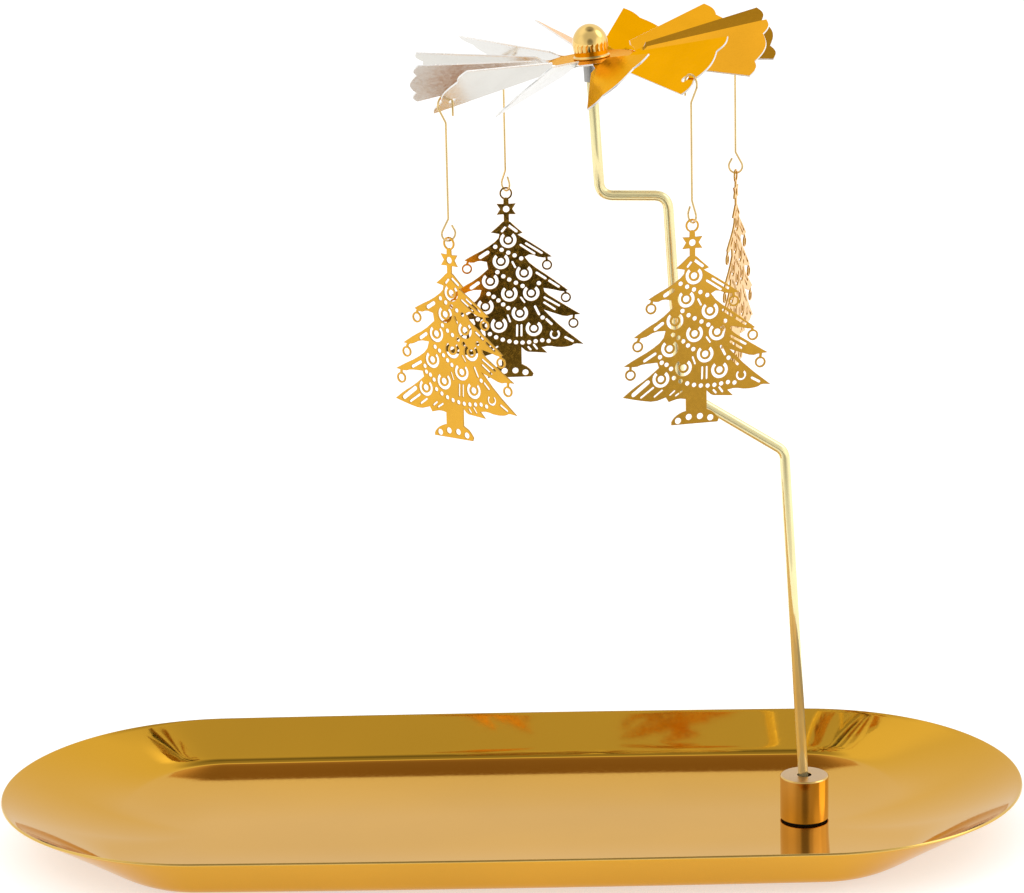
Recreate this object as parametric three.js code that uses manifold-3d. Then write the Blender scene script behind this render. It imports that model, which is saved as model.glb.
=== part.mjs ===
// A rotary candle carousel: an oval tray, a weighted magnetic foot, a bent rod that ends in a steel point,
// a twelve-bladed wind wheel that turns on that point, and four tree pendants on hooked wires.
// Millimetres, +Z up. The origin is the middle of the tray's underside, X along the tray's long axis,
// and -Y is the side that faces the viewer.

import * as THREE from "three";
import { mergeVertices } from "three/addons/utils/BufferGeometryUtils.js";
import Module from "manifold-3d";

// Tray, pressed from sheet
const TRAY_LENGTH = 300;
const TRAY_WIDTH = 126.8;
const TRAY_HEIGHT = 15.4;
const TRAY_SIDE_BOW = 0.8;
const TRAY_WALL_SPREAD = 21;
const TRAY_WALL_KNEE_SHARE = 0.58;
const TRAY_SHEET = 0.8;
const TRAY_LIP_WIDTH = 1.1;

// Foot that stands on the tray
const FOOT_X = 86.6;
const FOOT_Y = 5;
const FOOT_RADIUS = 7.15;
const FOOT_HEIGHT = 12.7;
const FOOT_EDGE = 0.35;
const SOCKET_RADIUS = 2.1;
const SOCKET_DEPTH = 9.5;
const PAD_RADIUS = 6.7;
const PAD_THICKNESS = 0.8;
const MAGNET_RADIUS = 5;
const MAGNET_THICKNESS = 2.4;

// Bent rod, with the steel point pressed over its top end
const ROD_RADIUS = 1.5;
const ROD_LEAN_DEG = 3.1;
const ROD_FOOT_SHIFT = 0.2;
const ROD_BEND_RADIUS = 4.2;
const LOWER_UPRIGHT = 108.5;
const STEP_RUN = 28.8;
const STEP_RISE = 20.3;
const MIDDLE_UPRIGHT = 57;
const ARM_RUN = 19.1;
const ARM_RISE = 1.5;
const POINT_ABOVE_ARM = 48.3;
const FERRULE_RADIUS = 2.15;
const FERRULE_LENGTH = 9;
const FERRULE_ABOVE_ROD = 0.6;
const POINT_LENGTH = 6.5;
const POINT_FLAT_RADIUS = 0.12;

// Wind wheel: one sheet with twelve twisted blades, under a thimble-shaped cap that rests on the point
const WHEEL_LEAN_DEG = 6;
const WHEEL_DIP_DEG = 0.8;
const WHEEL_SHEET = 0.5;
const POINT_ABOVE_WHEEL = 9.1;
const HUB_RADIUS = 12.5;
const BLADE_COUNT = 12;
const BLADE_START_DEG = 7.5;
const BLADE_TWIST_DEG = 34.3;
const NECK_WIDTH = 3.2;
const NECK_LENGTH = 2.6;
const SHOULDER_LENGTH = 0.9;
const BLADE_ROOT_WIDTH = 6.6;
const BLADE_TIP_WIDTH = 22.2;
const BLADE_NOTCH_RADIUS = 50;
const CORNER_SETBACK = 0.3;
const MIDDLE_LOBE_BULGE = 1.9;
const SIDE_LOBE_BULGE = 1.1;
const NOTCH_SHARE = 0.49;
const CAP_RADIUS = 5.05;
const CAP_WALL = 0.45;
const CAP_SHOULDER_SHARE = 0.42;
const CAP_NECK_RADIUS = 4.75;
const CAP_SPIGOT_RADIUS = 4.45;
const CAP_HEM_RADIUS = 5.2;
const CAP_HEM_THICKNESS = 0.4;

// Hooked wires and the pendants on them
const FIRST_HANGER_BLADE = 1;
const WIRE_RADIUS = 0.3;
const HOLE_RADIUS = 1.1;
const HOLE_FROM_NOTCH = 3.7;
const UPPER_HOOK_PAST_NOTCH = 1.1;
const UPPER_HOOK_DROP = 0.85;
const STUB_LENGTH = 3.6;
const OUTER_LEG = 0.8;
const JOG_DROP = 4.4;
const WIRE_BEND_RADIUS = 1;
const WIRE_LENGTH = 38.3;
const LOWER_HOOK_RADIUS = 2;
const LOWER_HOOK_HEIGHT = 6.1;
const LOWER_HOOK_TIP = 1.5;
const TREE_HEIGHT = 57.7;
const TREE_SHEET = 0.5;
const TREE_RING_RADIUS = 1.9;
const TREE_RING_WIDTH = 0.5;

// Clearances
const SEAT_GAP = 0.1;
const POINT_GAP = 0.3;
const FERRULE_GAP = 0.06;
const HANG_GAP = 0.3;
const OVERRUN = 1;

// How finely curves are drawn
const TRAY_ARC_STEPS = 9;
const TRAY_WALL_STEPS = 4;
const ROUND_STEPS = 28;
const ROD_SIDES = 12;
const ROD_STEP_DEG = 20;
const WIRE_SIDES = 6;
const WIRE_STEP_DEG = 32;
const CAP_STEPS = 20;
const CAP_DOME_STEPS = 4;
const LOBE_STEPS = 4;
const NECK_STEPS = 2;
const HOLE_SIDES = 8;

// Where each pendant and its lower hook face at rest: 0 is square to the viewer, plus turns the right side away
const HANGERS = [
  { name: "front_right", treeFacingDeg: 15, hookFacingDeg: -60 },
  { name: "back_right", treeFacingDeg: 75, hookFacingDeg: -15 },
  { name: "back_left", treeFacingDeg: 4, hookFacingDeg: 125 },
  { name: "front_left", treeFacingDeg: -36, hookFacingDeg: 202 },
];

const rad = THREE.MathUtils.degToRad;
const deg = THREE.MathUtils.radToDeg;
const UP = new THREE.Vector3(0, 0, 1);
const wasm = await Module();
wasm.setup();

// Solids

function toSolid(geometry) {
  const bare = geometry.clone();
  bare.deleteAttribute("normal");
  bare.deleteAttribute("uv");
  const merged = mergeVertices(bare);
  return new wasm.Manifold(
    new wasm.Mesh({
      numProp: merged.attributes.position.itemSize,
      vertProperties: merged.attributes.position.array,
      triVerts: new Uint32Array(merged.index.array),
    }),
  );
}

function toGeometry(solid) {
  const made = solid.getMesh();
  const geometry = new THREE.BufferGeometry();
  geometry.setAttribute("position", new THREE.BufferAttribute(made.vertProperties, made.numProp));
  geometry.setIndex(new THREE.BufferAttribute(made.triVerts, 1));
  geometry.computeVertexNormals();
  return geometry;
}

function namedMesh(name, geometry, material) {
  const mesh = new THREE.Mesh(geometry, material);
  mesh.name = name;
  return mesh;
}

// A plate of the given outline, with its middle plane at z = 0
function plate(shape, thickness) {
  const geometry = new THREE.ExtrudeGeometry(shape, { depth: thickness, bevelEnabled: false, curveSegments: 1 });
  return geometry.translate(0, 0, -thickness / 2);
}

// A closed profile of radius and height, turned about Z
function turned(profile, steps) {
  const points = profile.map(([radius, height]) => new THREE.Vector2(radius, height));
  return new THREE.LatheGeometry(points, steps).rotateX(Math.PI / 2);
}

// Points round part of a circle, both ends included
function arcPoints(centre, radius, fromDeg, toDeg, steps) {
  return Array.from({ length: steps + 1 }, (_, i) => {
    const angle = rad(THREE.MathUtils.lerp(fromDeg, toDeg, i / steps));
    return new THREE.Vector2(centre.x + radius * Math.cos(angle), centre.y + radius * Math.sin(angle));
  });
}

function polygon(centre, radius, sides) {
  return new THREE.Shape(arcPoints(centre, radius, 90, 450, sides).slice(1));
}

// Part of a circle in the plane of two given directions
class PlaneArc extends THREE.Curve {
  constructor(centre, along, up, radius, fromDeg, toDeg) {
    super();
    Object.assign(this, { centre, along, up, radius, fromDeg, toDeg });
  }

  getPoint(t) {
    const angle = rad(THREE.MathUtils.lerp(this.fromDeg, this.toDeg, t));
    return this.centre
      .clone()
      .addScaledVector(this.along, this.radius * Math.cos(angle))
      .addScaledVector(this.up, this.radius * Math.sin(angle));
  }
}

function turnDeg(curve) {
  if (curve instanceof PlaneArc) return Math.abs(curve.toDeg - curve.fromDeg);
  return deg(curve.getTangent(0).angleTo(curve.getTangent(1)));
}

// A path of straight stretches and bends, with stations only where it turns
class BentPath extends THREE.CurvePath {
  constructor(curves, stepDeg) {
    super();
    this.stations = [curves[0].getPoint(0)];
    for (const curve of curves) {
      this.add(curve);
      const steps = Math.max(Math.ceil(turnDeg(curve) / stepDeg), 1);
      this.stations.push(...curve.getPoints(steps).slice(1));
    }
  }

  getSpacedPoints() {
    return this.stations;
  }

  computeFrenetFrames() {
    const last = this.stations.length - 1;
    const tangents = this.stations.map((_, i, all) =>
      all[Math.min(i + 1, last)].clone().sub(all[Math.max(i - 1, 0)]).normalize(),
    );
    const start = Math.abs(tangents[0].y) < Math.SQRT1_2 ? new THREE.Vector3(0, 1, 0) : new THREE.Vector3(1, 0, 0);
    const normals = [];
    const binormals = [];
    tangents.forEach((tangent, i) => {
      const side = (i ? normals[i - 1] : start).clone();
      side.addScaledVector(tangent, -side.dot(tangent)).normalize();
      normals.push(side);
      binormals.push(new THREE.Vector3().crossVectors(tangent, side));
    });
    return { tangents, normals, binormals };
  }
}

// Straight stretches between corners, each corner rounded to the bend radius
function stretches(corners, bendRadius) {
  const curves = [];
  let from = corners[0];
  for (let i = 1; i < corners.length - 1; i++) {
    const corner = corners[i];
    const back = corners[i - 1].clone().sub(corner).normalize();
    const ahead = corners[i + 1].clone().sub(corner).normalize();
    const setback = bendRadius / Math.tan(back.angleTo(ahead) / 2);
    const bendStart = corner.clone().addScaledVector(back, setback);
    const bendEnd = corner.clone().addScaledVector(ahead, setback);
    curves.push(new THREE.LineCurve3(from, bendStart));
    curves.push(new THREE.QuadraticBezierCurve3(bendStart, corner, bendEnd));
    from = bendEnd;
  }
  curves.push(new THREE.LineCurve3(from, corners[corners.length - 1]));
  return curves;
}

function roundBar(path, radius, sides) {
  const section = polygon(new THREE.Vector2(), radius, sides);
  return new THREE.ExtrudeGeometry(section, { steps: path.stations.length - 1, extrudePath: path, curveSegments: 1 });
}

// Closed skin over a stack of rings that all have the same number of points
function loft(rings) {
  const count = rings[0].length;
  const index = [];
  for (let level = 0; level < rings.length - 1; level++) {
    for (let i = 0; i < count; i++) {
      const a = level * count + i;
      const b = level * count + ((i + 1) % count);
      index.push(a, b, b + count, a, b + count, a + count);
    }
  }
  const top = (rings.length - 1) * count;
  for (let i = 1; i < count - 1; i++) {
    index.push(0, i + 1, i);
    index.push(top, top + i, top + i + 1);
  }
  const geometry = new THREE.BufferGeometry().setFromPoints(rings.flat());
  geometry.setIndex(index);
  geometry.computeVertexNormals();
  return geometry;
}

// Tray

// The oval drawn in from the rim by the given amount: round ends and slightly bowed sides, tangent where they meet
function trayOval(inset, height) {
  const halfWidth = TRAY_WIDTH / 2;
  const endRadius = halfWidth - TRAY_SIDE_BOW;
  const endCentre = TRAY_LENGTH / 2 - endRadius;
  const sideRadius = (endCentre ** 2 + halfWidth ** 2 - endRadius ** 2) / (2 * (halfWidth - endRadius));
  const sideCentre = halfWidth - sideRadius;
  const jointDeg = deg(Math.atan2(-sideCentre, endCentre));
  const end = arcPoints(new THREE.Vector2(endCentre, 0), endRadius - inset, 0, jointDeg, TRAY_ARC_STEPS);
  const side = arcPoints(new THREE.Vector2(0, sideCentre), sideRadius - inset, jointDeg, 90, TRAY_ARC_STEPS / 3);
  const quarter = [...end, ...side.slice(1)];
  const farLeft = quarter.slice(0, -1).reverse().map(({ x, y }) => new THREE.Vector2(-x, y));
  const far = [...quarter, ...farLeft];
  const near = far.slice(1, -1).reverse().map(({ x, y }) => new THREE.Vector2(x, -y));
  return [...far, ...near].map(({ x, y }) => new THREE.Vector3(x, y, height));
}

// The wall leaves the floor level and steepens towards the rim. Depth goes into the sheet from its underside.
function trayWallRing(share, depth) {
  const spread = TRAY_WALL_SPREAD - TRAY_LIP_WIDTH;
  const wall = new THREE.QuadraticBezierCurve(
    new THREE.Vector2(0, 0),
    new THREE.Vector2(spread * TRAY_WALL_KNEE_SHARE, 0),
    new THREE.Vector2(spread, TRAY_HEIGHT - TRAY_SHEET),
  );
  const point = wall.getPoint(share);
  const tangent = wall.getTangent(share);
  const out = point.x - tangent.y * depth;
  return trayOval(TRAY_WALL_SPREAD - out, point.y + tangent.x * depth);
}

function makeTray(material) {
  const shares = Array.from({ length: TRAY_WALL_STEPS + 1 }, (_, i) => i / TRAY_WALL_STEPS);
  const outside = shares.map((share) => trayWallRing(share, 0));
  const lip = [
    trayOval(0, TRAY_HEIGHT - TRAY_SHEET),
    trayOval(0, TRAY_HEIGHT),
    trayOval(TRAY_LIP_WIDTH + TRAY_SHEET, TRAY_HEIGHT),
  ];
  const inside = shares.slice(0, -1).reverse().map((share) => trayWallRing(share, TRAY_SHEET));
  return namedMesh("tray", loft([...outside, ...lip, ...inside]), material);
}

// Foot: turned weight with a blind socket above and the magnet's recess below, the magnet, and the pad under both

function makeFoot(brass, steel, rubber) {
  const padBottom = TRAY_SHEET + SEAT_GAP;
  const bottom = padBottom + PAD_THICKNESS + SEAT_GAP;
  const top = bottom + FOOT_HEIGHT;
  const recessRadius = MAGNET_RADIUS + SEAT_GAP;
  const recessTop = bottom + MAGNET_THICKNESS + SEAT_GAP;
  const socketFloor = top - SOCKET_DEPTH;
  const body = turned(
    [
      [0, recessTop],
      [recessRadius, recessTop],
      [recessRadius, bottom],
      [FOOT_RADIUS - FOOT_EDGE, bottom],
      [FOOT_RADIUS, bottom + FOOT_EDGE],
      [FOOT_RADIUS, top - FOOT_EDGE],
      [FOOT_RADIUS - FOOT_EDGE, top],
      [SOCKET_RADIUS, top],
      [SOCKET_RADIUS, socketFloor],
      [0, socketFloor],
    ],
    ROUND_STEPS,
  );
  const disc = (radius, low, high) => turned([[0, low], [radius, low], [radius, high], [0, high]], ROUND_STEPS);
  const foot = new THREE.Group();
  foot.add(
    namedMesh("base_body", body, brass),
    namedMesh("base_magnet", disc(MAGNET_RADIUS, bottom, bottom + MAGNET_THICKNESS), steel),
    namedMesh("base_pad", disc(PAD_RADIUS, padBottom, padBottom + PAD_THICKNESS), rubber),
  );
  foot.position.set(FOOT_X, FOOT_Y, 0);
  return { foot, socketFloor };
}

// Rod: drawn upright from its lower end, in the XZ plane, then leaned in its loose socket

function makeRod(socketFloor, brass, steel) {
  const stepTop = LOWER_UPRIGHT + STEP_RISE;
  const armStart = stepTop + MIDDLE_UPRIGHT;
  const armEnd = armStart + ARM_RISE;
  const topX = -STEP_RUN - ARM_RUN;
  const pointHeight = armEnd + POINT_ABOVE_ARM;
  const shoulder = pointHeight - POINT_LENGTH;
  const rodTop = shoulder - FERRULE_ABOVE_ROD - FERRULE_GAP;
  const corners = [
    [0, 0],
    [0, LOWER_UPRIGHT],
    [-STEP_RUN, stepTop],
    [-STEP_RUN, armStart],
    [topX, armEnd],
    [topX, rodTop],
  ].map(([x, z]) => new THREE.Vector3(x, 0, z));
  const path = new BentPath(stretches(corners, ROD_BEND_RADIUS), ROD_STEP_DEG);
  const ferruleBottom = shoulder - FERRULE_LENGTH;
  const bore = ROD_RADIUS + FERRULE_GAP;
  const point = turned(
    [
      [0, rodTop + FERRULE_GAP],
      [bore, rodTop + FERRULE_GAP],
      [bore, ferruleBottom],
      [FERRULE_RADIUS, ferruleBottom],
      [FERRULE_RADIUS, shoulder],
      [POINT_FLAT_RADIUS, pointHeight],
      [0, pointHeight],
    ],
    ROD_SIDES * 2,
  ).translate(topX, 0, 0);
  const rod = new THREE.Group();
  rod.add(namedMesh("rod", roundBar(path, ROD_RADIUS, ROD_SIDES), brass), namedMesh("pivot_tip", point, steel));
  rod.rotation.y = -rad(ROD_LEAN_DEG);
  const footLift = SEAT_GAP + ROD_RADIUS * Math.sin(rad(ROD_LEAN_DEG));
  rod.position.set(FOOT_X + ROD_FOOT_SHIFT, FOOT_Y, socketFloor + footLift);
  rod.updateMatrixWorld(true);
  return { rod, pointTip: rod.localToWorld(new THREE.Vector3(topX, 0, pointHeight)) };
}

// Wind wheel, drawn level about its axis with the sheet's middle plane at z = 0

const NOTCH_ACROSS = (NOTCH_SHARE * BLADE_TIP_WIDTH) / 2;
const HOLE_REACH = BLADE_NOTCH_RADIUS - HOLE_FROM_NOTCH;

// One lobe of the scalloped blade tip, from notch to notch, without its last point
function lobe(from, to, bulge) {
  return Array.from({ length: LOBE_STEPS }, (_, i) => {
    const t = i / LOBE_STEPS;
    return from.clone().lerp(to, t).add(new THREE.Vector2(bulge * Math.sin(Math.PI * t), 0));
  });
}

// The flat blank of one blade, along +X, from inside the hub disc to its scalloped tip
function bladeBlank(hasHole) {
  const half = BLADE_TIP_WIDTH / 2;
  const neck = Array.from({ length: NECK_STEPS + 1 }, (_, i) =>
    new THREE.Vector2(HUB_RADIUS + (NECK_LENGTH * i) / NECK_STEPS, NECK_WIDTH / 2),
  );
  const side = [
    new THREE.Vector2(HUB_RADIUS - OVERRUN, NECK_WIDTH / 2),
    ...neck,
    new THREE.Vector2(HUB_RADIUS + NECK_LENGTH + SHOULDER_LENGTH, BLADE_ROOT_WIDTH / 2),
  ];
  const corner = new THREE.Vector2(BLADE_NOTCH_RADIUS - CORNER_SETBACK, half);
  const notch = new THREE.Vector2(BLADE_NOTCH_RADIUS, NOTCH_ACROSS);
  const flip = ({ x, y }) => new THREE.Vector2(x, -y);
  const tip = [
    ...lobe(flip(corner), flip(notch), SIDE_LOBE_BULGE),
    ...lobe(flip(notch), notch, MIDDLE_LOBE_BULGE),
    ...lobe(notch, corner, SIDE_LOBE_BULGE),
    corner,
  ];
  const shape = new THREE.Shape([...side.map(flip), ...tip, ...side.reverse()]);
  if (hasHole) shape.holes.push(polygon(new THREE.Vector2(HOLE_REACH, -NOTCH_ACROSS), HOLE_RADIUS, HOLE_SIDES));
  return plate(shape, WHEEL_SHEET);
}

// The blade's slope about its own length: none on the hub disc, all of it past the neck
function twistedBlade(hasHole) {
  const geometry = bladeBlank(hasHole);
  const position = geometry.attributes.position;
  for (let i = 0; i < position.count; i++) {
    const share = THREE.MathUtils.clamp((position.getX(i) - HUB_RADIUS) / NECK_LENGTH, 0, 1);
    const angle = rad(BLADE_TWIST_DEG) * share;
    const across = position.getY(i);
    const through = position.getZ(i);
    position.setY(i, across * Math.cos(angle) - through * Math.sin(angle));
    position.setZ(i, across * Math.sin(angle) + through * Math.cos(angle));
  }
  return geometry;
}

// Turns a blade drawn along +X to its place: azimuth 0 points at the viewer, plus goes to the right
function bladeTurn(index) {
  return rad(BLADE_START_DEG + (360 / BLADE_COUNT) * index - 90);
}

function hangerBlade(hanger) {
  return FIRST_HANGER_BLADE + (BLADE_COUNT / HANGERS.length) * hanger;
}

function makeWheelPlate(material) {
  const disc = polygon(new THREE.Vector2(), HUB_RADIUS, ROUND_STEPS);
  disc.holes.push(polygon(new THREE.Vector2(), CAP_SPIGOT_RADIUS + SEAT_GAP, CAP_STEPS));
  const hangerBlades = HANGERS.map((_, i) => hangerBlade(i));
  let solid = toSolid(plate(disc, WHEEL_SHEET));
  for (let i = 0; i < BLADE_COUNT; i++) {
    solid = solid.add(toSolid(twistedBlade(hangerBlades.includes(i)).rotateZ(bladeTurn(i))));
  }
  return namedMesh("rotor_plate", toGeometry(solid), material);
}

// Thin cap, open below: its foot is swaged round the hole in the hub disc, and its crown rests on the point
function makeCap(material) {
  const crown = POINT_ABOVE_WHEEL + POINT_GAP;
  const face = WHEEL_SHEET / 2 + SEAT_GAP;
  const neckHeight = face + 2 * CAP_HEM_THICKNESS;
  const dome = (radius, top) =>
    Array.from({ length: CAP_DOME_STEPS }, (_, i) => {
      const angle = (Math.PI * i) / CAP_DOME_STEPS / 2;
      const height = THREE.MathUtils.lerp(top * CAP_SHOULDER_SHARE, top, Math.sin(angle));
      return [radius * Math.cos(angle), height];
    });
  const outside = [
    [CAP_SPIGOT_RADIUS - CAP_WALL, -face - CAP_HEM_THICKNESS],
    [CAP_HEM_RADIUS, -face - CAP_HEM_THICKNESS],
    [CAP_HEM_RADIUS, -face],
    [CAP_SPIGOT_RADIUS, -face],
    [CAP_SPIGOT_RADIUS, face],
    [CAP_HEM_RADIUS, face],
    [CAP_HEM_RADIUS, face + CAP_HEM_THICKNESS],
    [CAP_NECK_RADIUS, neckHeight],
    ...dome(CAP_RADIUS, crown + CAP_WALL),
    [0, crown + CAP_WALL],
  ];
  const inside = [
    [0, crown],
    ...dome(CAP_RADIUS - CAP_WALL, crown).reverse(),
    [CAP_NECK_RADIUS - CAP_WALL, neckHeight],
    [CAP_SPIGOT_RADIUS - CAP_WALL, face],
    [CAP_SPIGOT_RADIUS - CAP_WALL, -face - CAP_HEM_THICKNESS],
  ];
  return namedMesh("dome_cap", turned([...outside, ...inside], CAP_STEPS), material);
}

function makeWheel(pointTip, gold, brass) {
  const wheel = new THREE.Group();
  wheel.add(makeWheelPlate(gold), makeCap(brass));
  wheel.rotation.set(-rad(WHEEL_DIP_DEG), -rad(WHEEL_LEAN_DEG), 0);
  const drop = new THREE.Vector3(0, 0, -POINT_ABOVE_WHEEL).applyEuler(wheel.rotation);
  wheel.position.copy(pointTip).add(drop);
  wheel.updateMatrixWorld(true);
  return wheel;
}

// Hangers: each wire hooks over the strip between its hole and the notch in the blade's tip

const UPPER_HOOK_RADIUS = (HOLE_FROM_NOTCH + UPPER_HOOK_PAST_NOTCH) / 2;

// The middle of the upper hook's bend in the part's frame, and the level direction out along the blade
function hangPoint(wheel, hanger) {
  const turn = new THREE.Matrix4().makeRotationZ(bladeTurn(hangerBlade(hanger)));
  const slope = rad(BLADE_TWIST_DEG);
  const hole = new THREE.Vector3(HOLE_REACH, -NOTCH_ACROSS * Math.cos(slope), -NOTCH_ACROSS * Math.sin(slope));
  wheel.localToWorld(hole.applyMatrix4(turn));
  const outward = new THREE.Vector3(1, 0, 0).applyMatrix4(turn).normalize();
  const reach = Math.sqrt(UPPER_HOOK_RADIUS ** 2 - UPPER_HOOK_DROP ** 2);
  const centre = hole.addScaledVector(outward, reach).addScaledVector(UP, -UPPER_HOOK_DROP);
  return { centre, outward };
}

function makeWire(hanger, centre, outward, material) {
  const { name, hookFacingDeg } = HANGERS[hanger];
  const at = (direction, out, height) => centre.clone().addScaledVector(direction, out).addScaledVector(UP, height);
  const facing = new THREE.Vector3(1, 0, 0).applyAxisAngle(UP, rad(hookFacingDeg));
  const hookCentre = at(facing, 0, LOWER_HOOK_RADIUS - WIRE_LENGTH);
  const hookApex = at(facing, 0, LOWER_HOOK_HEIGHT - WIRE_LENGTH);
  const touchDeg = deg(Math.asin(LOWER_HOOK_RADIUS / (LOWER_HOOK_HEIGHT - LOWER_HOOK_RADIUS)));
  const bow = new PlaneArc(hookCentre, facing, UP, LOWER_HOOK_RADIUS, touchDeg, -180 - touchDeg);
  const bowEnd = bow.getPoint(1);
  const tipWay = hookApex.clone().sub(bowEnd).normalize();
  const curves = [
    new THREE.LineCurve3(at(outward, -UPPER_HOOK_RADIUS, -STUB_LENGTH), at(outward, -UPPER_HOOK_RADIUS, 0)),
    new PlaneArc(centre, outward, UP, UPPER_HOOK_RADIUS, 180, 0),
    ...stretches(
      [
        at(outward, UPPER_HOOK_RADIUS, 0),
        at(outward, UPPER_HOOK_RADIUS, -OUTER_LEG),
        at(outward, 0, -OUTER_LEG - JOG_DROP),
        hookApex,
        bow.getPoint(0),
      ],
      WIRE_BEND_RADIUS,
    ),
    bow,
    new THREE.LineCurve3(bowEnd, bowEnd.clone().addScaledVector(tipWay, LOWER_HOOK_TIP)),
  ];
  const path = new BentPath(curves, WIRE_STEP_DEG);
  return namedMesh("hook_wire_" + name, roundBar(path, WIRE_RADIUS, WIRE_SIDES), material);
}

// Pendant: a cut-out fir tree. Every share is a share of the tree's height: across from its middle line,
// and down from the top of its ring.

// Right side from the neck down to the mound, then the left side from the mound up to the neck
const CONTOUR_SHARES = [
  [0.014, 0.176], [0.048, 0.21], [0.082, 0.24], [0.056, 0.25],
  [0.154, 0.314], [0.23, 0.37], [0.172, 0.376], [0.12, 0.352], [0.09, 0.368],
  [0.12, 0.408], [0.222, 0.48], [0.31, 0.55], [0.284, 0.557], [0.233, 0.543], [0.184, 0.534],
  [0.19, 0.56], [0.275, 0.616], [0.373, 0.679], [0.33, 0.68], [0.294, 0.689], [0.233, 0.667], [0.182, 0.648],
  [0.27, 0.742], [0.386, 0.837], [0.34, 0.832], [0.32, 0.846], [0.262, 0.851], [0.205, 0.84],
  [0.168, 0.847], [0.197, 0.877], [0.118, 0.87], [0.09, 0.868], [0.064, 0.842],
  [0.064, 0.932], [0.1, 0.952], [0.124, 0.984], [0.118, 1],
  [-0.114, 1], [-0.113, 0.982], [-0.092, 0.958], [-0.06, 0.94], [-0.04, 0.936],
  [-0.04, 0.876], [-0.076, 0.87], [-0.126, 0.884], [-0.14, 0.86], [-0.198, 0.878], [-0.268, 0.866], [-0.352, 0.845],
  [-0.3, 0.804], [-0.232, 0.762], [-0.172, 0.713],
  [-0.18, 0.686], [-0.255, 0.688], [-0.286, 0.7], [-0.345, 0.693], [-0.285, 0.66], [-0.215, 0.626], [-0.15, 0.58],
  [-0.136, 0.534], [-0.19, 0.533], [-0.246, 0.562], [-0.294, 0.557], [-0.233, 0.516], [-0.162, 0.478], [-0.1, 0.426],
  [-0.106, 0.388], [-0.145, 0.379], [-0.18, 0.393], [-0.22, 0.376], [-0.18, 0.353], [-0.11, 0.319], [-0.044, 0.272],
  [-0.038, 0.244], [-0.081, 0.235], [-0.044, 0.205], [-0.014, 0.176],
];
const STAR_CENTRE_SHARE = 0.115;
const STAR_TIP_SHARE = 0.057;
const STAR_VALLEY_SHARE = 0.031;
const STAR_HOLE_SHARE = 0.017;
const STAR_POINTS = 6;
const RING_SIDES = 12;
const NECK_BRIDGE_WIDTH_SHARE = 0.027;

// Balls that hang below the branch tips: middle, then where the stem meets the branch
const DROP_BALL_SHARES = [
  [0.204, 0.413, 0.2, 0.36],
  [0.298, 0.587, 0.29, 0.54],
  [0.335, 0.724, 0.34, 0.67],
  [-0.208, 0.421, -0.196, 0.37],
  [-0.276, 0.601, -0.262, 0.55],
  [-0.314, 0.737, -0.312, 0.69],
];
const DROP_BALL_RADIUS_SHARE = 0.027;
const DROP_BALL_HOLE_SHARE = 0.018;
const DROP_STEM_WIDTH_SHARE = 0.012;
const DROP_BALL_SIDES = 8;
const DROP_HOLE_SIDES = 5;

// Balls cut into the tree: each is a horseshoe slot round a ring that hangs from the slot's gap
const CUT_BALL_SHARES = [
  [0.007, 0.276], [-0.033, 0.386], [0.085, 0.451], [-0.09, 0.489], [0.007, 0.558], [0.12, 0.558],
  [-0.118, 0.622], [0.059, 0.662], [-0.05, 0.721], [0.13, 0.745], [-0.163, 0.768],
];
const SLOT_OUTER_SHARE = 0.043;
const SLOT_INNER_SHARE = 0.026;
const BALL_HOLE_SHARE = 0.016;
const SLOT_GAP_DEG = 80;
const SLOT_OUTER_STEPS = 5;
const SLOT_INNER_STEPS = 3;
const BALL_HOLE_SIDES = 4;

// Needle slots along the branches: the slot's width, then where it starts and ends
const NEEDLE_SHARES = [
  [0.014, 0.012, 0.202, 0.05, 0.23],
  [0.012, 0.082, 0.296, 0.15, 0.342],
  [0.01, 0.125, 0.315, 0.196, 0.352],
  [0.014, -0.14, 0.366, -0.1, 0.34],
  [0.014, -0.185, 0.518, -0.142, 0.49],
  [0.013, 0.215, 0.496, 0.262, 0.53],
  [0.015, -0.245, 0.676, -0.188, 0.64],
  [0.012, 0.19, 0.59, 0.256, 0.628],
  [0.012, 0.18, 0.617, 0.232, 0.65],
  [0.015, -0.3, 0.842, -0.2, 0.757],
  [0.012, -0.25, 0.852, -0.19, 0.806],
  [0.015, 0.262, 0.788, 0.315, 0.812],
  [0.012, 0.046, 0.725, 0.044, 0.775],
  [0.012, 0.068, 0.725, 0.066, 0.775],
];

// Dots of the lowest garland
const GARLAND_SHARES = [
  [-0.076, 0.783], [-0.032, 0.802], [0.012, 0.812], [0.056, 0.818], [0.1, 0.816], [0.144, 0.81],
];
const GARLAND_DOT_SHARE = 0.012;

// Openings in the mound that the trunk stands on
const MOUND_HOLE_SHARES = [
  [-0.08, 0.984], [-0.024, 0.966], [0.03, 0.966], [0.082, 0.98],
];
const MOUND_HOLE_SHARE = 0.015;
const DOT_SIDES = 4;

const onTree = ([across, down]) => new THREE.Vector2(across, -down).multiplyScalar(TREE_HEIGHT);

function dot(place, radiusShare, sides) {
  return polygon(onTree(place), radiusShare * TREE_HEIGHT, sides);
}

// A straight strip between two points of the tree
function strip([fromAcross, fromDown, toAcross, toDown], widthShare) {
  const from = onTree([fromAcross, fromDown]);
  const to = onTree([toAcross, toDown]);
  const way = to.clone().sub(from).normalize();
  const side = new THREE.Vector2(-way.y, way.x).multiplyScalar((widthShare * TREE_HEIGHT) / 2);
  return new THREE.Shape([
    from.clone().add(side),
    from.clone().sub(side),
    to.clone().sub(side),
    to.clone().add(side),
  ]);
}

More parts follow.
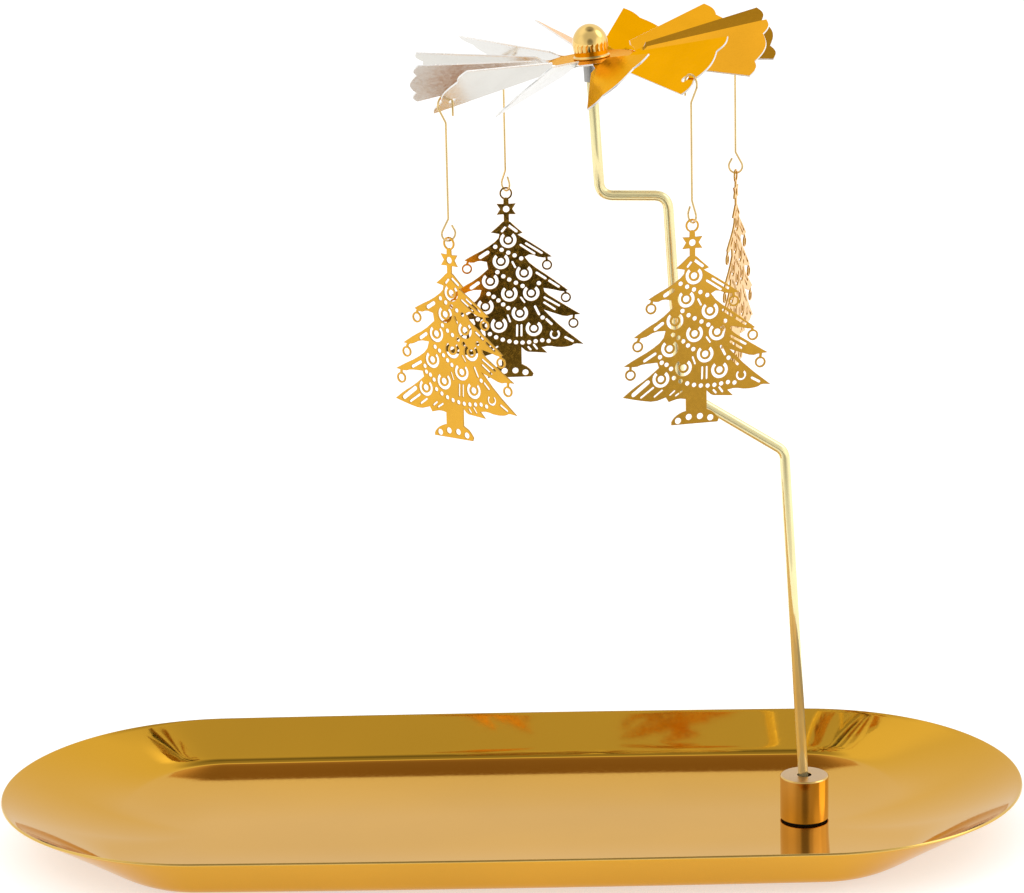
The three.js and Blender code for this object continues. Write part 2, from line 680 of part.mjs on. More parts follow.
function star() {
  const centre = onTree([0, STAR_CENTRE_SHARE]);
  const corners = arcPoints(centre, TREE_HEIGHT, 90, 450, 2 * STAR_POINTS).slice(1);
  return new THREE.Shape(
    corners.map((corner, i) => centre.clone().lerp(corner, i % 2 ? STAR_TIP_SHARE : STAR_VALLEY_SHARE)),
  );
}

// The slot round one cut ball, open at the top where the ball's ring joins the tree
function horseshoe(place) {
  const centre = onTree(place);
  const fromDeg = 90 + SLOT_GAP_DEG / 2;
  const toDeg = 450 - SLOT_GAP_DEG / 2;
  return new THREE.Shape([
    ...arcPoints(centre, SLOT_OUTER_SHARE * TREE_HEIGHT, fromDeg, toDeg, SLOT_OUTER_STEPS),
    ...arcPoints(centre, SLOT_INNER_SHARE * TREE_HEIGHT, toDeg, fromDeg, SLOT_INNER_STEPS),
  ]);
}

function treeGeometry() {
  const ringCentre = new THREE.Vector2(0, -TREE_RING_RADIUS);
  const ringFootShare = (2 * TREE_RING_RADIUS - TREE_RING_WIDTH / 2) / TREE_HEIGHT;
  const [, [, neckEndShare]] = CONTOUR_SHARES;
  const ballRimShare = (DROP_BALL_RADIUS_SHARE + DROP_BALL_HOLE_SHARE) / 2;
  const added = [
    polygon(ringCentre, TREE_RING_RADIUS, RING_SIDES),
    star(),
    strip([0, ringFootShare, 0, STAR_CENTRE_SHARE - STAR_HOLE_SHARE], NECK_BRIDGE_WIDTH_SHARE),
    strip([0, STAR_CENTRE_SHARE + STAR_HOLE_SHARE, 0, neckEndShare], NECK_BRIDGE_WIDTH_SHARE),
    ...DROP_BALL_SHARES.map((place) => dot(place, DROP_BALL_RADIUS_SHARE, DROP_BALL_SIDES)),
    ...DROP_BALL_SHARES.map(([across, down, ...stemTop]) =>
      strip([across, down - ballRimShare, ...stemTop], DROP_STEM_WIDTH_SHARE),
    ),
  ];
  const cuts = [
    polygon(ringCentre, TREE_RING_RADIUS - TREE_RING_WIDTH, RING_SIDES),
    dot([0, STAR_CENTRE_SHARE], STAR_HOLE_SHARE, STAR_POINTS),
    ...DROP_BALL_SHARES.map((place) => dot(place, DROP_BALL_HOLE_SHARE, DROP_HOLE_SIDES)),
    ...CUT_BALL_SHARES.map(horseshoe),
    ...CUT_BALL_SHARES.map((place) => dot(place, BALL_HOLE_SHARE, BALL_HOLE_SIDES)),
    ...NEEDLE_SHARES.map(([widthShare, ...ends]) => strip(ends, widthShare)),
    ...GARLAND_SHARES.map((place) => dot(place, GARLAND_DOT_SHARE, DOT_SIDES)),
    ...MOUND_HOLE_SHARES.map((place) => dot(place, MOUND_HOLE_SHARE, DOT_SIDES)),
  ];
  let solid = toSolid(plate(new THREE.Shape(CONTOUR_SHARES.map(onTree).reverse()), TREE_SHEET));
  for (const shape of added) solid = solid.add(toSolid(plate(shape, TREE_SHEET)));
  for (const shape of cuts) solid = solid.subtract(toSolid(plate(shape, TREE_SHEET + OVERRUN)));
  return toGeometry(solid).rotateX(Math.PI / 2);
}

// The ring's upper bar lies on the lower hook, so the tree hangs from the underside of that bar
function makeTree(hanger, centre, geometry, material) {
  const { name, treeFacingDeg } = HANGERS[hanger];
  const mesh = namedMesh("tree_" + name, geometry, material);
  const ringTop = WIRE_RADIUS + HANG_GAP + TREE_RING_WIDTH - WIRE_LENGTH;
  mesh.position.copy(centre).addScaledVector(UP, ringTop);
  mesh.rotation.z = rad(treeFacingDeg);
  return mesh;
}

// Materials: gold-plated sheet and rod, plain steel, black rubber

function metal(color, roughness) {
  return new THREE.MeshStandardMaterial({ color, roughness, metalness: 1 });
}

const trayGold = metal(0xd9a94e, 0.28);
const footGold = metal(0xcf9440, 0.22);
const rodBrass = metal(0xd8c27a, 0.18);
const wheelGold = metal(0xe0a030, 0.3);
const capBrass = metal(0xd9b05c, 0.15);
const wireGold = metal(0xd8b878, 0.3);
const treeGold = metal(0xdca22c, 0.3);
const steel = metal(0x8f8f8c, 0.35);
const rubber = new THREE.MeshStandardMaterial({ color: 0x17130f, roughness: 0.9, metalness: 0 });

const part = new THREE.Group();
const { foot, socketFloor } = makeFoot(footGold, steel, rubber);
const { rod, pointTip } = makeRod(socketFloor, rodBrass, steel);
const wheel = makeWheel(pointTip, wheelGold, capBrass);
part.add(makeTray(trayGold), foot, rod, wheel);

const tree = treeGeometry();
HANGERS.forEach((_, hanger) => {
  const { centre, outward } = hangPoint(wheel, hanger);
  part.add(makeWire(hanger, centre, outward, wireGold), makeTree(hanger, centre, tree, treeGold));
});

export default part;
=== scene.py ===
# The looks of a rotary candle carousel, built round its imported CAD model.
# Sizes are in millimetres, as in the part's source, and are turned into metres where the meshes are made.

import math

import bpy
from mathutils import Matrix, Vector
from mathutils.geometry import tessellate_polygon


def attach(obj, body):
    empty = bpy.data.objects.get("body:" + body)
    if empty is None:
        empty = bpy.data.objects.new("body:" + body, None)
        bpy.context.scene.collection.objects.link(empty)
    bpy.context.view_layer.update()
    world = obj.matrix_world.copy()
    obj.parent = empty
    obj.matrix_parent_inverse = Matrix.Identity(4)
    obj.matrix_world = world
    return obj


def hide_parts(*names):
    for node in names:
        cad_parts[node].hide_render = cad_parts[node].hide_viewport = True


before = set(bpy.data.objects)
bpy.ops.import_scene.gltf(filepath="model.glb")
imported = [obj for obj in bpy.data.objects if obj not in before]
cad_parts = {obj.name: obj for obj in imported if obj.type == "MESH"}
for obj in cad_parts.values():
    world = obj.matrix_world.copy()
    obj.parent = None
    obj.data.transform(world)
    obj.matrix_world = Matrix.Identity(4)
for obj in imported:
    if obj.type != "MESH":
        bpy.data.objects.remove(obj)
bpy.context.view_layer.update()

MM = 0.001
UP = Vector((0, 0, 1))

# ---- Camera: the photograph's place, direction and roll, found by fitting it to the tray's rim and the wheel
IMAGE_WIDTH = 1024
FOCAL_PX = 3775.8
CAMERA_AT = (16.39, -1048.21, 397.51)
CAMERA_AZIMUTH = 0.763
CAMERA_ELEVATION = 14.945
CAMERA_ROLL = -1.239
SENSOR_WIDTH = 36
CLIP_NEAR = 0.05
CLIP_FAR = 50

# ---- Tray. From the rim inwards its sides have a straight wall, a fillet, a heel and a shallow dish. Its ends
# have one gentle curve, which goes over into the sides' form along TRAY_END_TURN degrees of each end's arc.
TRAY_LENGTH = 300
TRAY_WIDTH = 126.8
TRAY_HEIGHT = 15.4
TRAY_SIDE_BOW = 0.8
TRAY_SHEET = 0.8
TRAY_DISH_INSET = 50.4
TRAY_DISH_RUN = 31
TRAY_DISH_RISE = 1.82
TRAY_HEEL_RUN = 9
TRAY_HEEL_SLOPE = 0.165
TRAY_FILLET_RUN = 3.5
TRAY_END_INSET = 56
TRAY_END_TURN = 72
# How far the underside stops below the rim's height, which leaves room for the sheet's edge
TRAY_SIDE_DROP = 0.3
TRAY_END_DROP = 0.7
TRAY_FLAT_MARGIN = 2.5
TRAY_EDGE_FILLET = 0.25

# ---- Foot
FOOT_X = 86.6
FOOT_Y = 5
FOOT_RADIUS = 7.15
FOOT_HEIGHT = 12.7
FOOT_EDGE = 0.35
SOCKET_RADIUS = 2.1
SOCKET_DEPTH = 9.5
PAD_THICKNESS = 0.8
MAGNET_RADIUS = 5
MAGNET_THICKNESS = 2.4
SEAT_GAP = 0.1
# The foot's thin rim round its pad
SKIRT_WALL = 0.35
SKIRT_DROP = 0.4
FOOT_FILLET = 0.14
# Faces of the foot that point up more than this have the satin top
FACING_UP = 0.9

# ---- Rod and point
ROD_RADIUS = 1.5
ROD_LEAN = 3.1
ROD_FOOT_SHIFT = 0.2
ROD_BEND_RADIUS = 4.2
ROD_END_ROUND = 0.15
LOWER_UPRIGHT = 108.5
STEP_RUN = 28.8
STEP_RISE = 20.3
MIDDLE_UPRIGHT = 57
ARM_RUN = 19.1
ARM_RISE = 1.5
POINT_ABOVE_ARM = 48.3
FERRULE_RADIUS = 2.15
FERRULE_LENGTH = 9
FERRULE_ABOVE_ROD = 0.6
FERRULE_GAP = 0.06
POINT_LENGTH = 6.5
POINT_TIP_RADIUS = 0.12
POINT_FILLET = 0.08
POINT_GAP = 0.3

# ---- Wheel
WHEEL_LEAN = 6
WHEEL_DIP = 0.8
WHEEL_SHEET = 0.5
WHEEL_EDGE = 0.07
POINT_ABOVE_WHEEL = 9.1
HUB_RADIUS = 12.5
BLADE_COUNT = 12
BLADE_START = 7.5
BLADE_TWIST = 34.3
NECK_WIDTH = 3.2
NECK_LENGTH = 2.6
NECK_INTO_HUB = 0.6
NECK_INTO_BLADE = 0.05
SHOULDER_LENGTH = 0.9
BLADE_ROOT_WIDTH = 6.6
BLADE_TIP_WIDTH = 22.2
BLADE_NOTCH_RADIUS = 50
CORNER_SETBACK = 0.3
MIDDLE_LOBE_BULGE = 1.9
SIDE_LOBE_BULGE = 1.1
NOTCH_SHARE = 0.49
CAP_RADIUS = 5.05
CAP_WALL = 0.45
CAP_SHOULDER_SHARE = 0.42
CAP_NECK_RADIUS = 4.75
CAP_SPIGOT_RADIUS = 4.45
CAP_HEM_RADIUS = 5.2
CAP_HEM_THICKNESS = 0.4
CAP_FILLET = 0.1

# ---- Hangers and trees
FIRST_HANGER_BLADE = 1
WIRE_RADIUS = 0.3
HOLE_RADIUS = 1.1
HOLE_FROM_NOTCH = 3.7
UPPER_HOOK_PAST_NOTCH = 1.25
UPPER_HOOK_DROP = 0.85
STUB_LENGTH = 3.6
OUTER_LEG = 0.8
JOG_DROP = 4.4
WIRE_BEND_RADIUS = 1
WIRE_END_ROUND = 0.06
WIRE_LENGTH = 38.3
LOWER_HOOK_RADIUS = 2
LOWER_HOOK_HEIGHT = 6.1
LOWER_HOOK_TIP = 1.5
HANG_GAP = 0.3
TREE_HEIGHT = 57.7
TREE_SHEET = 0.5
TREE_EDGE_ROUND = 0.05
TREE_RING_RADIUS = 1.9
TREE_RING_WIDTH = 0.5
# Name, direction of the tree's sheet and direction of the lower hook's plane, in degrees about Z
HANGERS = [
    ("front_right", 15, -60),
    ("back_right", 75, -15),
    ("back_left", 4, 125),
    ("front_left", -36, 202),
]

# ---- How finely curves are divided
ROUND_STEPS = 96
TRAY_END_STEPS = 64
TRAY_SIDE_STEPS = 16
TRAY_DISH_STEPS = 8
TRAY_HEEL_STEPS = 6
TRAY_FILLET_STEPS = 8
TRAY_WALL_STEPS = 10
ROD_SIDES = 40
ROD_BEND_STEPS = 14
POINT_STEPS = 64
HUB_STEPS = 120
CAP_HOLE_STEPS = 72
CAP_DOME_STEPS = 16
HANGER_HOLE_STEPS = 28
NECK_STEPS = 10
WIRE_SIDES = 16
WIRE_BEND_STEPS = 8
RING_STEPS = 48
RING_HOLE_STEPS = 40
STAR_HOLE_STEPS = 12
DROP_BALL_STEPS = 24
DROP_HOLE_STEPS = 20
BALL_HOLE_STEPS = 14
SLOT_OUTER_STEPS = 20
SLOT_INNER_STEPS = 14
GARLAND_DOT_STEPS = 10
MOUND_HOLE_STEPS = 12

# ---- Up to which angle between two faces, in degrees, an edge is shaded smooth
ROUND_SMOOTH = 50
TRAY_SMOOTH = 40
WHEEL_SMOOTH = 25


# ---- Meshes

def add_object(name, verts, faces, materials, indices=None, smooth_deg=None):
    mesh = bpy.data.meshes.new(name)
    mesh.from_pydata([Vector(v) * MM for v in verts], [], faces)
    for material in materials:
        mesh.materials.append(material)
    if indices:
        mesh.polygons.foreach_set("material_index", indices)
    if smooth_deg is not None:
        mesh.polygons.foreach_set("use_smooth", [True] * len(mesh.polygons))
        mesh.set_sharp_from_angle(angle=math.radians(smooth_deg))
    mesh.update()
    obj = bpy.data.objects.new(name, mesh)
    bpy.context.collection.objects.link(obj)
    return obj


def ring_faces(levels, count, closed_ends=True):
    faces = []
    for level in range(levels - 1):
        for i in range(count):
            a = level * count + i
            b = level * count + (i + 1) % count
            faces.append((a, b, b + count, a + count))
    if closed_ends:
        faces.append(tuple(reversed(range(count))))
        faces.append(tuple((levels - 1) * count + i for i in range(count)))
    return faces


def corner_curve(start, corner, end, steps):
    """A curve from start to end that leaves and arrives along the lines through the corner."""
    out = []
    for i in range(steps + 1):
        t = i / steps
        out.append(start * (1 - t) ** 2 + corner * (2 * t * (1 - t)) + end * t * t)
    return out


def rounded(points, radius, steps=4, longest_share=0.45):
    """The open line through the points, with its corners rounded, by less where stretches are short."""
    out = [Vector(points[0])]
    for before, corner, after in zip(points, points[1:], points[2:]):
        before, corner, after = Vector(before), Vector(corner), Vector(after)
        shortest = min((before - corner).length, (after - corner).length)
        cut = min(radius, shortest * longest_share)
        start = corner + (before - corner).normalized() * cut
        end = corner + (after - corner).normalized() * cut
        out += corner_curve(start, corner, end, steps)
    out.append(Vector(points[-1]))
    return out


def turned(name, profile, materials, place, fillet, steps=ROUND_STEPS):
    """A profile of radius and height, from the axis to the axis, turned about Z."""
    line = rounded(profile, fillet)
    inner = line[1:-1]
    verts = [place @ Vector((0, 0, line[0].y))]
    for point in inner:
        for i in range(steps):
            angle = 2 * math.pi * i / steps
            verts.append(place @ Vector((point.x * math.cos(angle), point.x * math.sin(angle), point.y)))
    verts.append(place @ Vector((0, 0, line[-1].y)))
    faces = [(0, 1 + (i + 1) % steps, 1 + i) for i in range(steps)]
    faces += [tuple(v + 1 for v in face) for face in ring_faces(len(inner), steps, closed_ends=False)]
    last = 1 + (len(inner) - 1) * steps
    faces += [(len(verts) - 1, last + i, last + (i + 1) % steps) for i in range(steps)]
    return add_object(name, verts, faces, materials, smooth_deg=ROUND_SMOOTH)


def arc(centre, along, up, radius, from_deg, to_deg, step_deg=7):
    """Points on an arc in the plane of two directions, from one angle to the other."""
    steps = max(2, math.ceil(abs(to_deg - from_deg) / step_deg))
    out = []
    for i in range(steps + 1):
        angle = math.radians(from_deg + (to_deg - from_deg) * i / steps)
        out.append(centre + along * (radius * math.cos(angle)) + up * (radius * math.sin(angle)))
    return out


def bends(corners, radius, steps):
    """Straight stretches between corners, each corner rounded as in the part's source."""
    out = [corners[0]]
    for before, corner, after in zip(corners, corners[1:], corners[2:]):
        back = (before - corner).normalized()
        ahead = (after - corner).normalized()
        setback = radius / math.tan(back.angle(ahead) / 2)
        out += corner_curve(corner + back * setback, corner, corner + ahead * setback, steps)
    out.append(corners[-1])
    return out


def bar(name, path, radius, sides, materials, end_round, place=Matrix(), least_step=1e-4):
    """A round bar along a path, with its ends slightly rounded."""
    points = [path[0]]
    for point in path[1:]:
        if (point - points[-1]).length > least_step:
            points.append(point)
    first = (points[1] - points[0]).normalized()
    final = (points[-1] - points[-2]).normalized()
    points.insert(1, points[0] + first * end_round)
    points.insert(len(points) - 1, points[-1] - final * end_round)
    radii = [radius] * len(points)
    radii[0] = radii[-1] = radius - end_round
    last = len(points) - 1
    side = Vector((0, 1, 0)) if abs(first.y) < 0.7 else Vector((1, 0, 0))
    verts = []
    for i, point in enumerate(points):
        tangent = (points[min(i + 1, last)] - points[max(i - 1, 0)]).normalized()
        side = (side - tangent * side.dot(tangent)).normalized()
        other = tangent.cross(side)
        for k in range(sides):
            angle = 2 * math.pi * k / sides
            ray = side * math.cos(angle) + other * math.sin(angle)
            verts.append(place @ (point + ray * radii[i]))
    return add_object(name, verts, ring_faces(len(points), sides), materials, smooth_deg=ROUND_SMOOTH)


def inset_loop(loop, amount, folded_back=0.3, longest_mitre=1.6):
    """The closed outline moved in by the amount, towards its left, with sharp tips held short."""
    out = []
    count = len(loop)
    for i in range(count):
        before, here, after = loop[i - 1], loop[i], loop[(i + 1) % count]
        a = (here - before).normalized()
        b = (after - here).normalized()
        normal = Vector((-a.y - b.y, a.x + b.x))
        length = normal.length
        if length < folded_back:
            out.append(here + Vector((-a.y, a.x)) * amount)
            continue
        out.append(here + normal / length * min(amount / (length / 2), longest_mitre * amount))
    return out


def signed_area(loop):
    return sum(a.x * b.y - b.x * a.y for a, b in zip(loop, loop[1:] + loop[:1])) / 2


# Which of a sheet's material slots a face takes
TOP_FACE, UNDER_FACE, EDGE_FACE = range(3)


def plate(loops, thickness, edge):
    """Vertices, faces and face slots of a flat plate with bevelled edges; the first loop is the outline."""
    sorted_loops = []
    for i, loop in enumerate(loops):
        loop = [Vector(p) for p in loop]
        if (signed_area(loop) > 0) != (i == 0):
            loop.reverse()
        sorted_loops.append(loop)
    inner = [inset_loop(loop, edge) for loop in sorted_loops]
    flat = [point for loop in inner for point in loop]
    triangles = tessellate_polygon([[Vector((p.x, p.y, 0)) for p in loop] for loop in inner])
    half = thickness / 2
    verts, faces, slots = [], [], []
    verts += [(p.x, p.y, half) for p in flat]
    verts += [(p.x, p.y, -half) for p in flat]
    count = len(flat)
    for a, b, c in triangles:
        cross = (flat[b] - flat[a]).cross(flat[c] - flat[a])
        if cross < 0:
            b, c = c, b
        faces += [(a, b, c), (c + count, b + count, a + count)]
        slots += [TOP_FACE, UNDER_FACE]
    start = 0
    for outer, loop in zip(sorted_loops, inner):
        base = len(verts)
        size = len(loop)
        verts += [(p.x, p.y, half - edge) for p in outer]
        verts += [(p.x, p.y, edge - half) for p in outer]
        for i in range(size):
            j = (i + 1) % size
            faces += [
                (start + i, base + i, base + j, start + j),
                (base + i, base + size + i, base + size + j, base + j),
                (base + size + i, count + start + i, count + start + j, base + size + j),
            ]
            slots += [EDGE_FACE] * 3
        start += size
    return verts, faces, slots


# ---- Materials

# The part of the noise's range that colour and gloss run over, the least roughness, and the relief in metres
DRIFT_SPAN = (0.35, 0.65)
GRAIN_SPAN = (0.3, 0.7)
LEAST_ROUGHNESS = 0.02
GRAIN_DEPTH = 0.00003


def set_inputs(node, values):
    for socket, value in values.items():
        node.inputs[socket].default_value = value


def add_node(tree, kind, values=None, **settings):
    node = tree.nodes.new(kind)
    for setting, value in settings.items():
        setattr(node, setting, value)
    set_inputs(node, values or {})
    return node


def new_material(name):
    material = bpy.data.materials.new(name)
    material.use_nodes = True
    return material, material.node_tree


def shade(color, factor):
    return tuple(min(1.0, c * factor) for c in color) + (1.0,)


def metal(
    name, color, rough, spread=0.05, tint=0.05, cloud=60, grain=(900, 900, 900), bump=0.03, pure=1.0, edge=None
):
    """Polished or satin metal: slow drifts of colour, and fine rubbed grain in gloss and height."""
    material, tree = new_material(name)
    link = tree.links.new
    shader = tree.nodes["Principled BSDF"]
    shader.inputs["Metallic"].default_value = pure
    if edge:
        shader.inputs["Specular Tint"].default_value = edge + (1.0,)
    place = add_node(tree, "ShaderNodeTexCoord")
    drift = add_node(tree, "ShaderNodeTexNoise", {"Scale": cloud, "Detail": 3.0})
    link(place.outputs["Object"], drift.inputs["Vector"])
    ramp = add_node(tree, "ShaderNodeValToRGB")
    low, high = ramp.color_ramp.elements
    low.position, high.position = DRIFT_SPAN
    low.color, high.color = shade(color, 1 - tint), shade(color, 1 + tint)
    link(drift.outputs["Fac"], ramp.inputs["Fac"])
    link(ramp.outputs["Color"], shader.inputs["Base Color"])
    stretch = add_node(tree, "ShaderNodeMapping", {"Scale": grain})
    link(place.outputs["Object"], stretch.inputs["Vector"])
    fine = add_node(tree, "ShaderNodeTexNoise", {"Scale": 1.0, "Detail": 4.0})
    link(stretch.outputs["Vector"], fine.inputs["Vector"])
    gloss = add_node(tree, "ShaderNodeMapRange", {
        "From Min": GRAIN_SPAN[0],
        "From Max": GRAIN_SPAN[1],
        "To Min": max(LEAST_ROUGHNESS, rough - spread),
        "To Max": rough + spread,
    })
    link(fine.outputs["Fac"], gloss.inputs["Value"])
    link(gloss.outputs["Result"], shader.inputs["Roughness"])
    relief = add_node(tree, "ShaderNodeBump", {"Strength": bump, "Distance": GRAIN_DEPTH})
    link(fine.outputs["Fac"], relief.inputs["Height"])
    link(relief.outputs["Normal"], shader.inputs["Normal"])
    return material


def rubber(name):
    """Black rubber with fine specks in colour and height."""
    material, tree = new_material(name)
    link = tree.links.new
    shader = tree.nodes["Principled BSDF"]
    place = add_node(tree, "ShaderNodeTexCoord")
    speck = add_node(tree, "ShaderNodeTexNoise", {"Scale": 1500})
    ramp = add_node(tree, "ShaderNodeValToRGB")
    low, high = ramp.color_ramp.elements
    low.color, high.color = (0.004, 0.003, 0.003, 1), (0.02, 0.016, 0.013, 1)
    relief = add_node(tree, "ShaderNodeBump", {"Strength": 0.3, "Distance": 0.00005})
    link(place.outputs["Object"], speck.inputs["Vector"])
    link(speck.outputs["Fac"], ramp.inputs["Fac"])
    link(ramp.outputs["Color"], shader.inputs["Base Color"])
    link(speck.outputs["Fac"], relief.inputs["Height"])
    link(relief.outputs["Normal"], shader.inputs["Normal"])
    shader.inputs["Roughness"].default_value = 0.85
    return material


TRAY_GOLD = metal(
    "tray_gold_polished", (0.68, 0.355, 0.03), 0.06, spread=0.02, tint=0.03, cloud=14, bump=0.01
)
LIP_GOLD = metal("tray_lip_polished", (0.72, 0.46, 0.12), 0.1, cloud=30)
FOOT_GOLD = metal("foot_gold_polished", (0.73, 0.47, 0.15), 0.1, cloud=90, grain=(500, 500, 6000))
FOOT_TOP = metal("foot_top_satin", (0.6, 0.4, 0.2), 0.32, cloud=90, grain=(2500, 2500, 500), bump=0.12)
ROD_GOLD = metal(
    "rod_brass_polished", (1.0, 0.86, 0.46), 0.08, cloud=70, grain=(2500, 2500, 250), pure=0.65
)
WHEEL_TOP = metal(
    "wheel_gold_top", (0.93, 0.43, 0.025), 0.16, cloud=50, bump=0.02, edge=(0.95, 0.7, 0.25)
)
# The wheel's underside is the same gold sheet; its pale silver-grey is a painted reflection of the white
# surroundings
WHEEL_UNDER_PAINTED_REFLECTION = metal("wheel_underside_painted_reflection", (0.63, 0.61, 0.56), 0.18, cloud=45, bump=0.02)
# The blades' cut edges are the same gold sheet; their near-white is a painted highlight along every edge
WHEEL_EDGE_PAINTED_HIGHLIGHT = metal("wheel_edge_painted_highlight", (0.94, 0.93, 0.9), 0.25, cloud=80, pure=0.4)
CAP_GOLD = metal(
    "cap_brass_polished", (0.88, 0.6, 0.2), 0.035, spread=0.015, cloud=120, grain=(1500, 1500, 1500), bump=0.02
)
WIRE_GOLD = metal("wire_gold_drawn", (0.8, 0.58, 0.26), 0.22, cloud=200, grain=(3000, 3000, 300), bump=0.04)
TREE_GOLD = metal("tree_gold_etched", (0.86, 0.45, 0.05), 0.13, cloud=90, bump=0.05)
TREE_EDGE = metal("tree_etched_edge", (0.62, 0.34, 0.06), 0.3, cloud=200)
POINT_STEEL = metal(
    "point_steel_turned", (0.33, 0.32, 0.3), 0.3, cloud=200, grain=(300, 300, 9000), bump=0.15
)
MAGNET_STEEL = metal("magnet_nickel", (0.6, 0.58, 0.55), 0.25, cloud=200)
PAD_RUBBER = rubber("pad_rubber_black")


# ---- Tray

def tray_quarter():
    """Centre, direction, radius and share of end shape, round a quarter of the rim from its end to its side."""
    half_width = TRAY_WIDTH / 2
    end_radius = half_width - TRAY_SIDE_BOW
    end_centre = TRAY_LENGTH / 2 - end_radius
    side_radius = (end_centre**2 + half_width**2 - end_radius**2) / (2 * (half_width - end_radius))
    side_centre = half_width - side_radius
    joint = math.atan2(-side_centre, end_centre)
    out = []
    for i in range(TRAY_END_STEPS + 1):
        angle = joint * i / TRAY_END_STEPS
        share = min(1, (joint - angle) / math.radians(TRAY_END_TURN))
        out.append(((end_centre, 0), angle, end_radius, share * share * (3 - 2 * share)))
    for i in range(1, TRAY_SIDE_STEPS + 1):
        angle = joint + (math.pi / 2 - joint) * i / TRAY_SIDE_STEPS
        out.append(((0, side_centre), angle, side_radius, 0.0))
    return out


def sloping(start, run, from_slope, to_slope, steps):
    """The points after the start of a stretch whose slope changes evenly."""
    out = []
    for i in range(1, steps + 1):
        v = run * i / steps
        out.append((start[0] + v, start[1] + from_slope * v + (to_slope - from_slope) * v * v / (2 * run)))
    return out


def side_profile():
    """Distance from the dish's start and height, on the underside of a long wall."""
    dish_slope = 2 * TRAY_DISH_RISE / TRAY_DISH_RUN
    out = [(0, 0)]
    out += sloping(out[-1], TRAY_DISH_RUN, 0, dish_slope, TRAY_DISH_STEPS)
    out += sloping(out[-1], TRAY_HEEL_RUN, dish_slope, TRAY_HEEL_SLOPE, TRAY_HEEL_STEPS)
    run = TRAY_DISH_INSET - out[-1][0]
    rise = TRAY_HEIGHT - TRAY_SIDE_DROP - out[-1][1]
    wall_slope = (rise - TRAY_HEEL_SLOPE * TRAY_FILLET_RUN / 2) / (run - TRAY_FILLET_RUN / 2)
    out += sloping(out[-1], TRAY_FILLET_RUN, TRAY_HEEL_SLOPE, wall_slope, TRAY_FILLET_STEPS)
    out += sloping(out[-1], run - TRAY_FILLET_RUN, wall_slope, wall_slope, TRAY_WALL_STEPS)
    return out


def wall_section(end_share):
    """Inset and height of the wall's two faces and lip, from the floor's underside round to its top.

    With them come the lip's first row and its number of rows.
    """
    profile = side_profile()
    side_top = profile[-1][1]
    top = side_top + (TRAY_HEIGHT - TRAY_END_DROP - side_top) * end_share
    outside = []
    for u, height in profile:
        share = height / side_top
        side_inset = TRAY_DISH_INSET - u
        end_inset = TRAY_END_INSET * (1 - math.sqrt(share))
        outside.append(Vector((side_inset + (end_inset - side_inset) * end_share, top * share)))
    outside.insert(0, Vector((outside[0].x + TRAY_FLAT_MARGIN, 0)))
    inside = []
    last = len(outside) - 1
    for i, point in enumerate(outside):
        way = outside[min(i + 1, last)] - outside[max(i - 1, 0)]
        way.normalize()
        inside.append(point + Vector((way.y, -way.x)) * TRAY_SHEET)
    inside[0].y = inside[1].y = TRAY_SHEET
    lip = rounded([outside[-2], outside[-1], inside[-1], inside[-2]], TRAY_EDGE_FILLET, steps=3)[1:-1]
    return outside[:-1] + lip + inside[:-1][::-1], last, len(lip)


def make_tray():
    rim = tray_quarter()
    right_half = [(1, 1, *point) for point in rim] + [(-1, 1, *point) for point in reversed(rim[:-1])]
    around = right_half + [(side, -1, *point) for side, _, *point in reversed(right_half[1:-1])]
    sections = [wall_section(share) for *_, share in around]
    rows = len(sections[0][0])
    verts = []
    for row in range(rows):
        for (flip_x, flip_y, centre, angle, radius, _), (section, _, _) in zip(around, sections):
            inset, height = section[row]
            x = centre[0] + (radius - inset) * math.cos(angle)
            y = centre[1] + (radius - inset) * math.sin(angle)
            verts.append((flip_x * x, flip_y * y, height))
    faces = ring_faces(rows, len(around))
    first_lip, lip_rows = sections[0][1:]
    lip = range(first_lip, first_lip + lip_rows - 1)
    slots = [int(i // len(around) in lip) for i in range(len(faces))]
    return add_object("tray_pressed", verts, faces, [TRAY_GOLD, LIP_GOLD], slots, smooth_deg=TRAY_SMOOTH)


# ---- Foot, rod and point

PAD_BOTTOM = TRAY_SHEET + SEAT_GAP
FOOT_BOTTOM = PAD_BOTTOM + PAD_THICKNESS + SEAT_GAP
FOOT_TOP_AT = FOOT_BOTTOM + FOOT_HEIGHT
SOCKET_FLOOR = FOOT_TOP_AT - SOCKET_DEPTH
FOOT_PLACE = Matrix.Translation((FOOT_X, FOOT_Y, 0))


def make_foot():
    recess = MAGNET_RADIUS + SEAT_GAP
    recess_top = FOOT_BOTTOM + MAGNET_THICKNESS + SEAT_GAP
    profile = [
        (0, recess_top),
        (recess, recess_top),
        (recess, FOOT_BOTTOM),
        (FOOT_RADIUS - SKIRT_WALL, FOOT_BOTTOM),
        (FOOT_RADIUS - SKIRT_WALL, FOOT_BOTTOM - SKIRT_DROP),
        (FOOT_RADIUS, FOOT_BOTTOM - SKIRT_DROP),
        (FOOT_RADIUS, FOOT_TOP_AT - FOOT_EDGE),
        (FOOT_RADIUS - FOOT_EDGE, FOOT_TOP_AT),
        (SOCKET_RADIUS, FOOT_TOP_AT),
        (SOCKET_RADIUS, SOCKET_FLOOR),
        (0, SOCKET_FLOOR),
    ]
    foot = turned("foot_turned", profile, [FOOT_GOLD, FOOT_TOP], FOOT_PLACE, FOOT_FILLET)
    for face in foot.data.polygons:
        if face.normal.z > FACING_UP:
            face.material_index = 1
    return foot


def turn(axis, degrees):
    return Matrix.Rotation(math.radians(degrees), 4, axis)


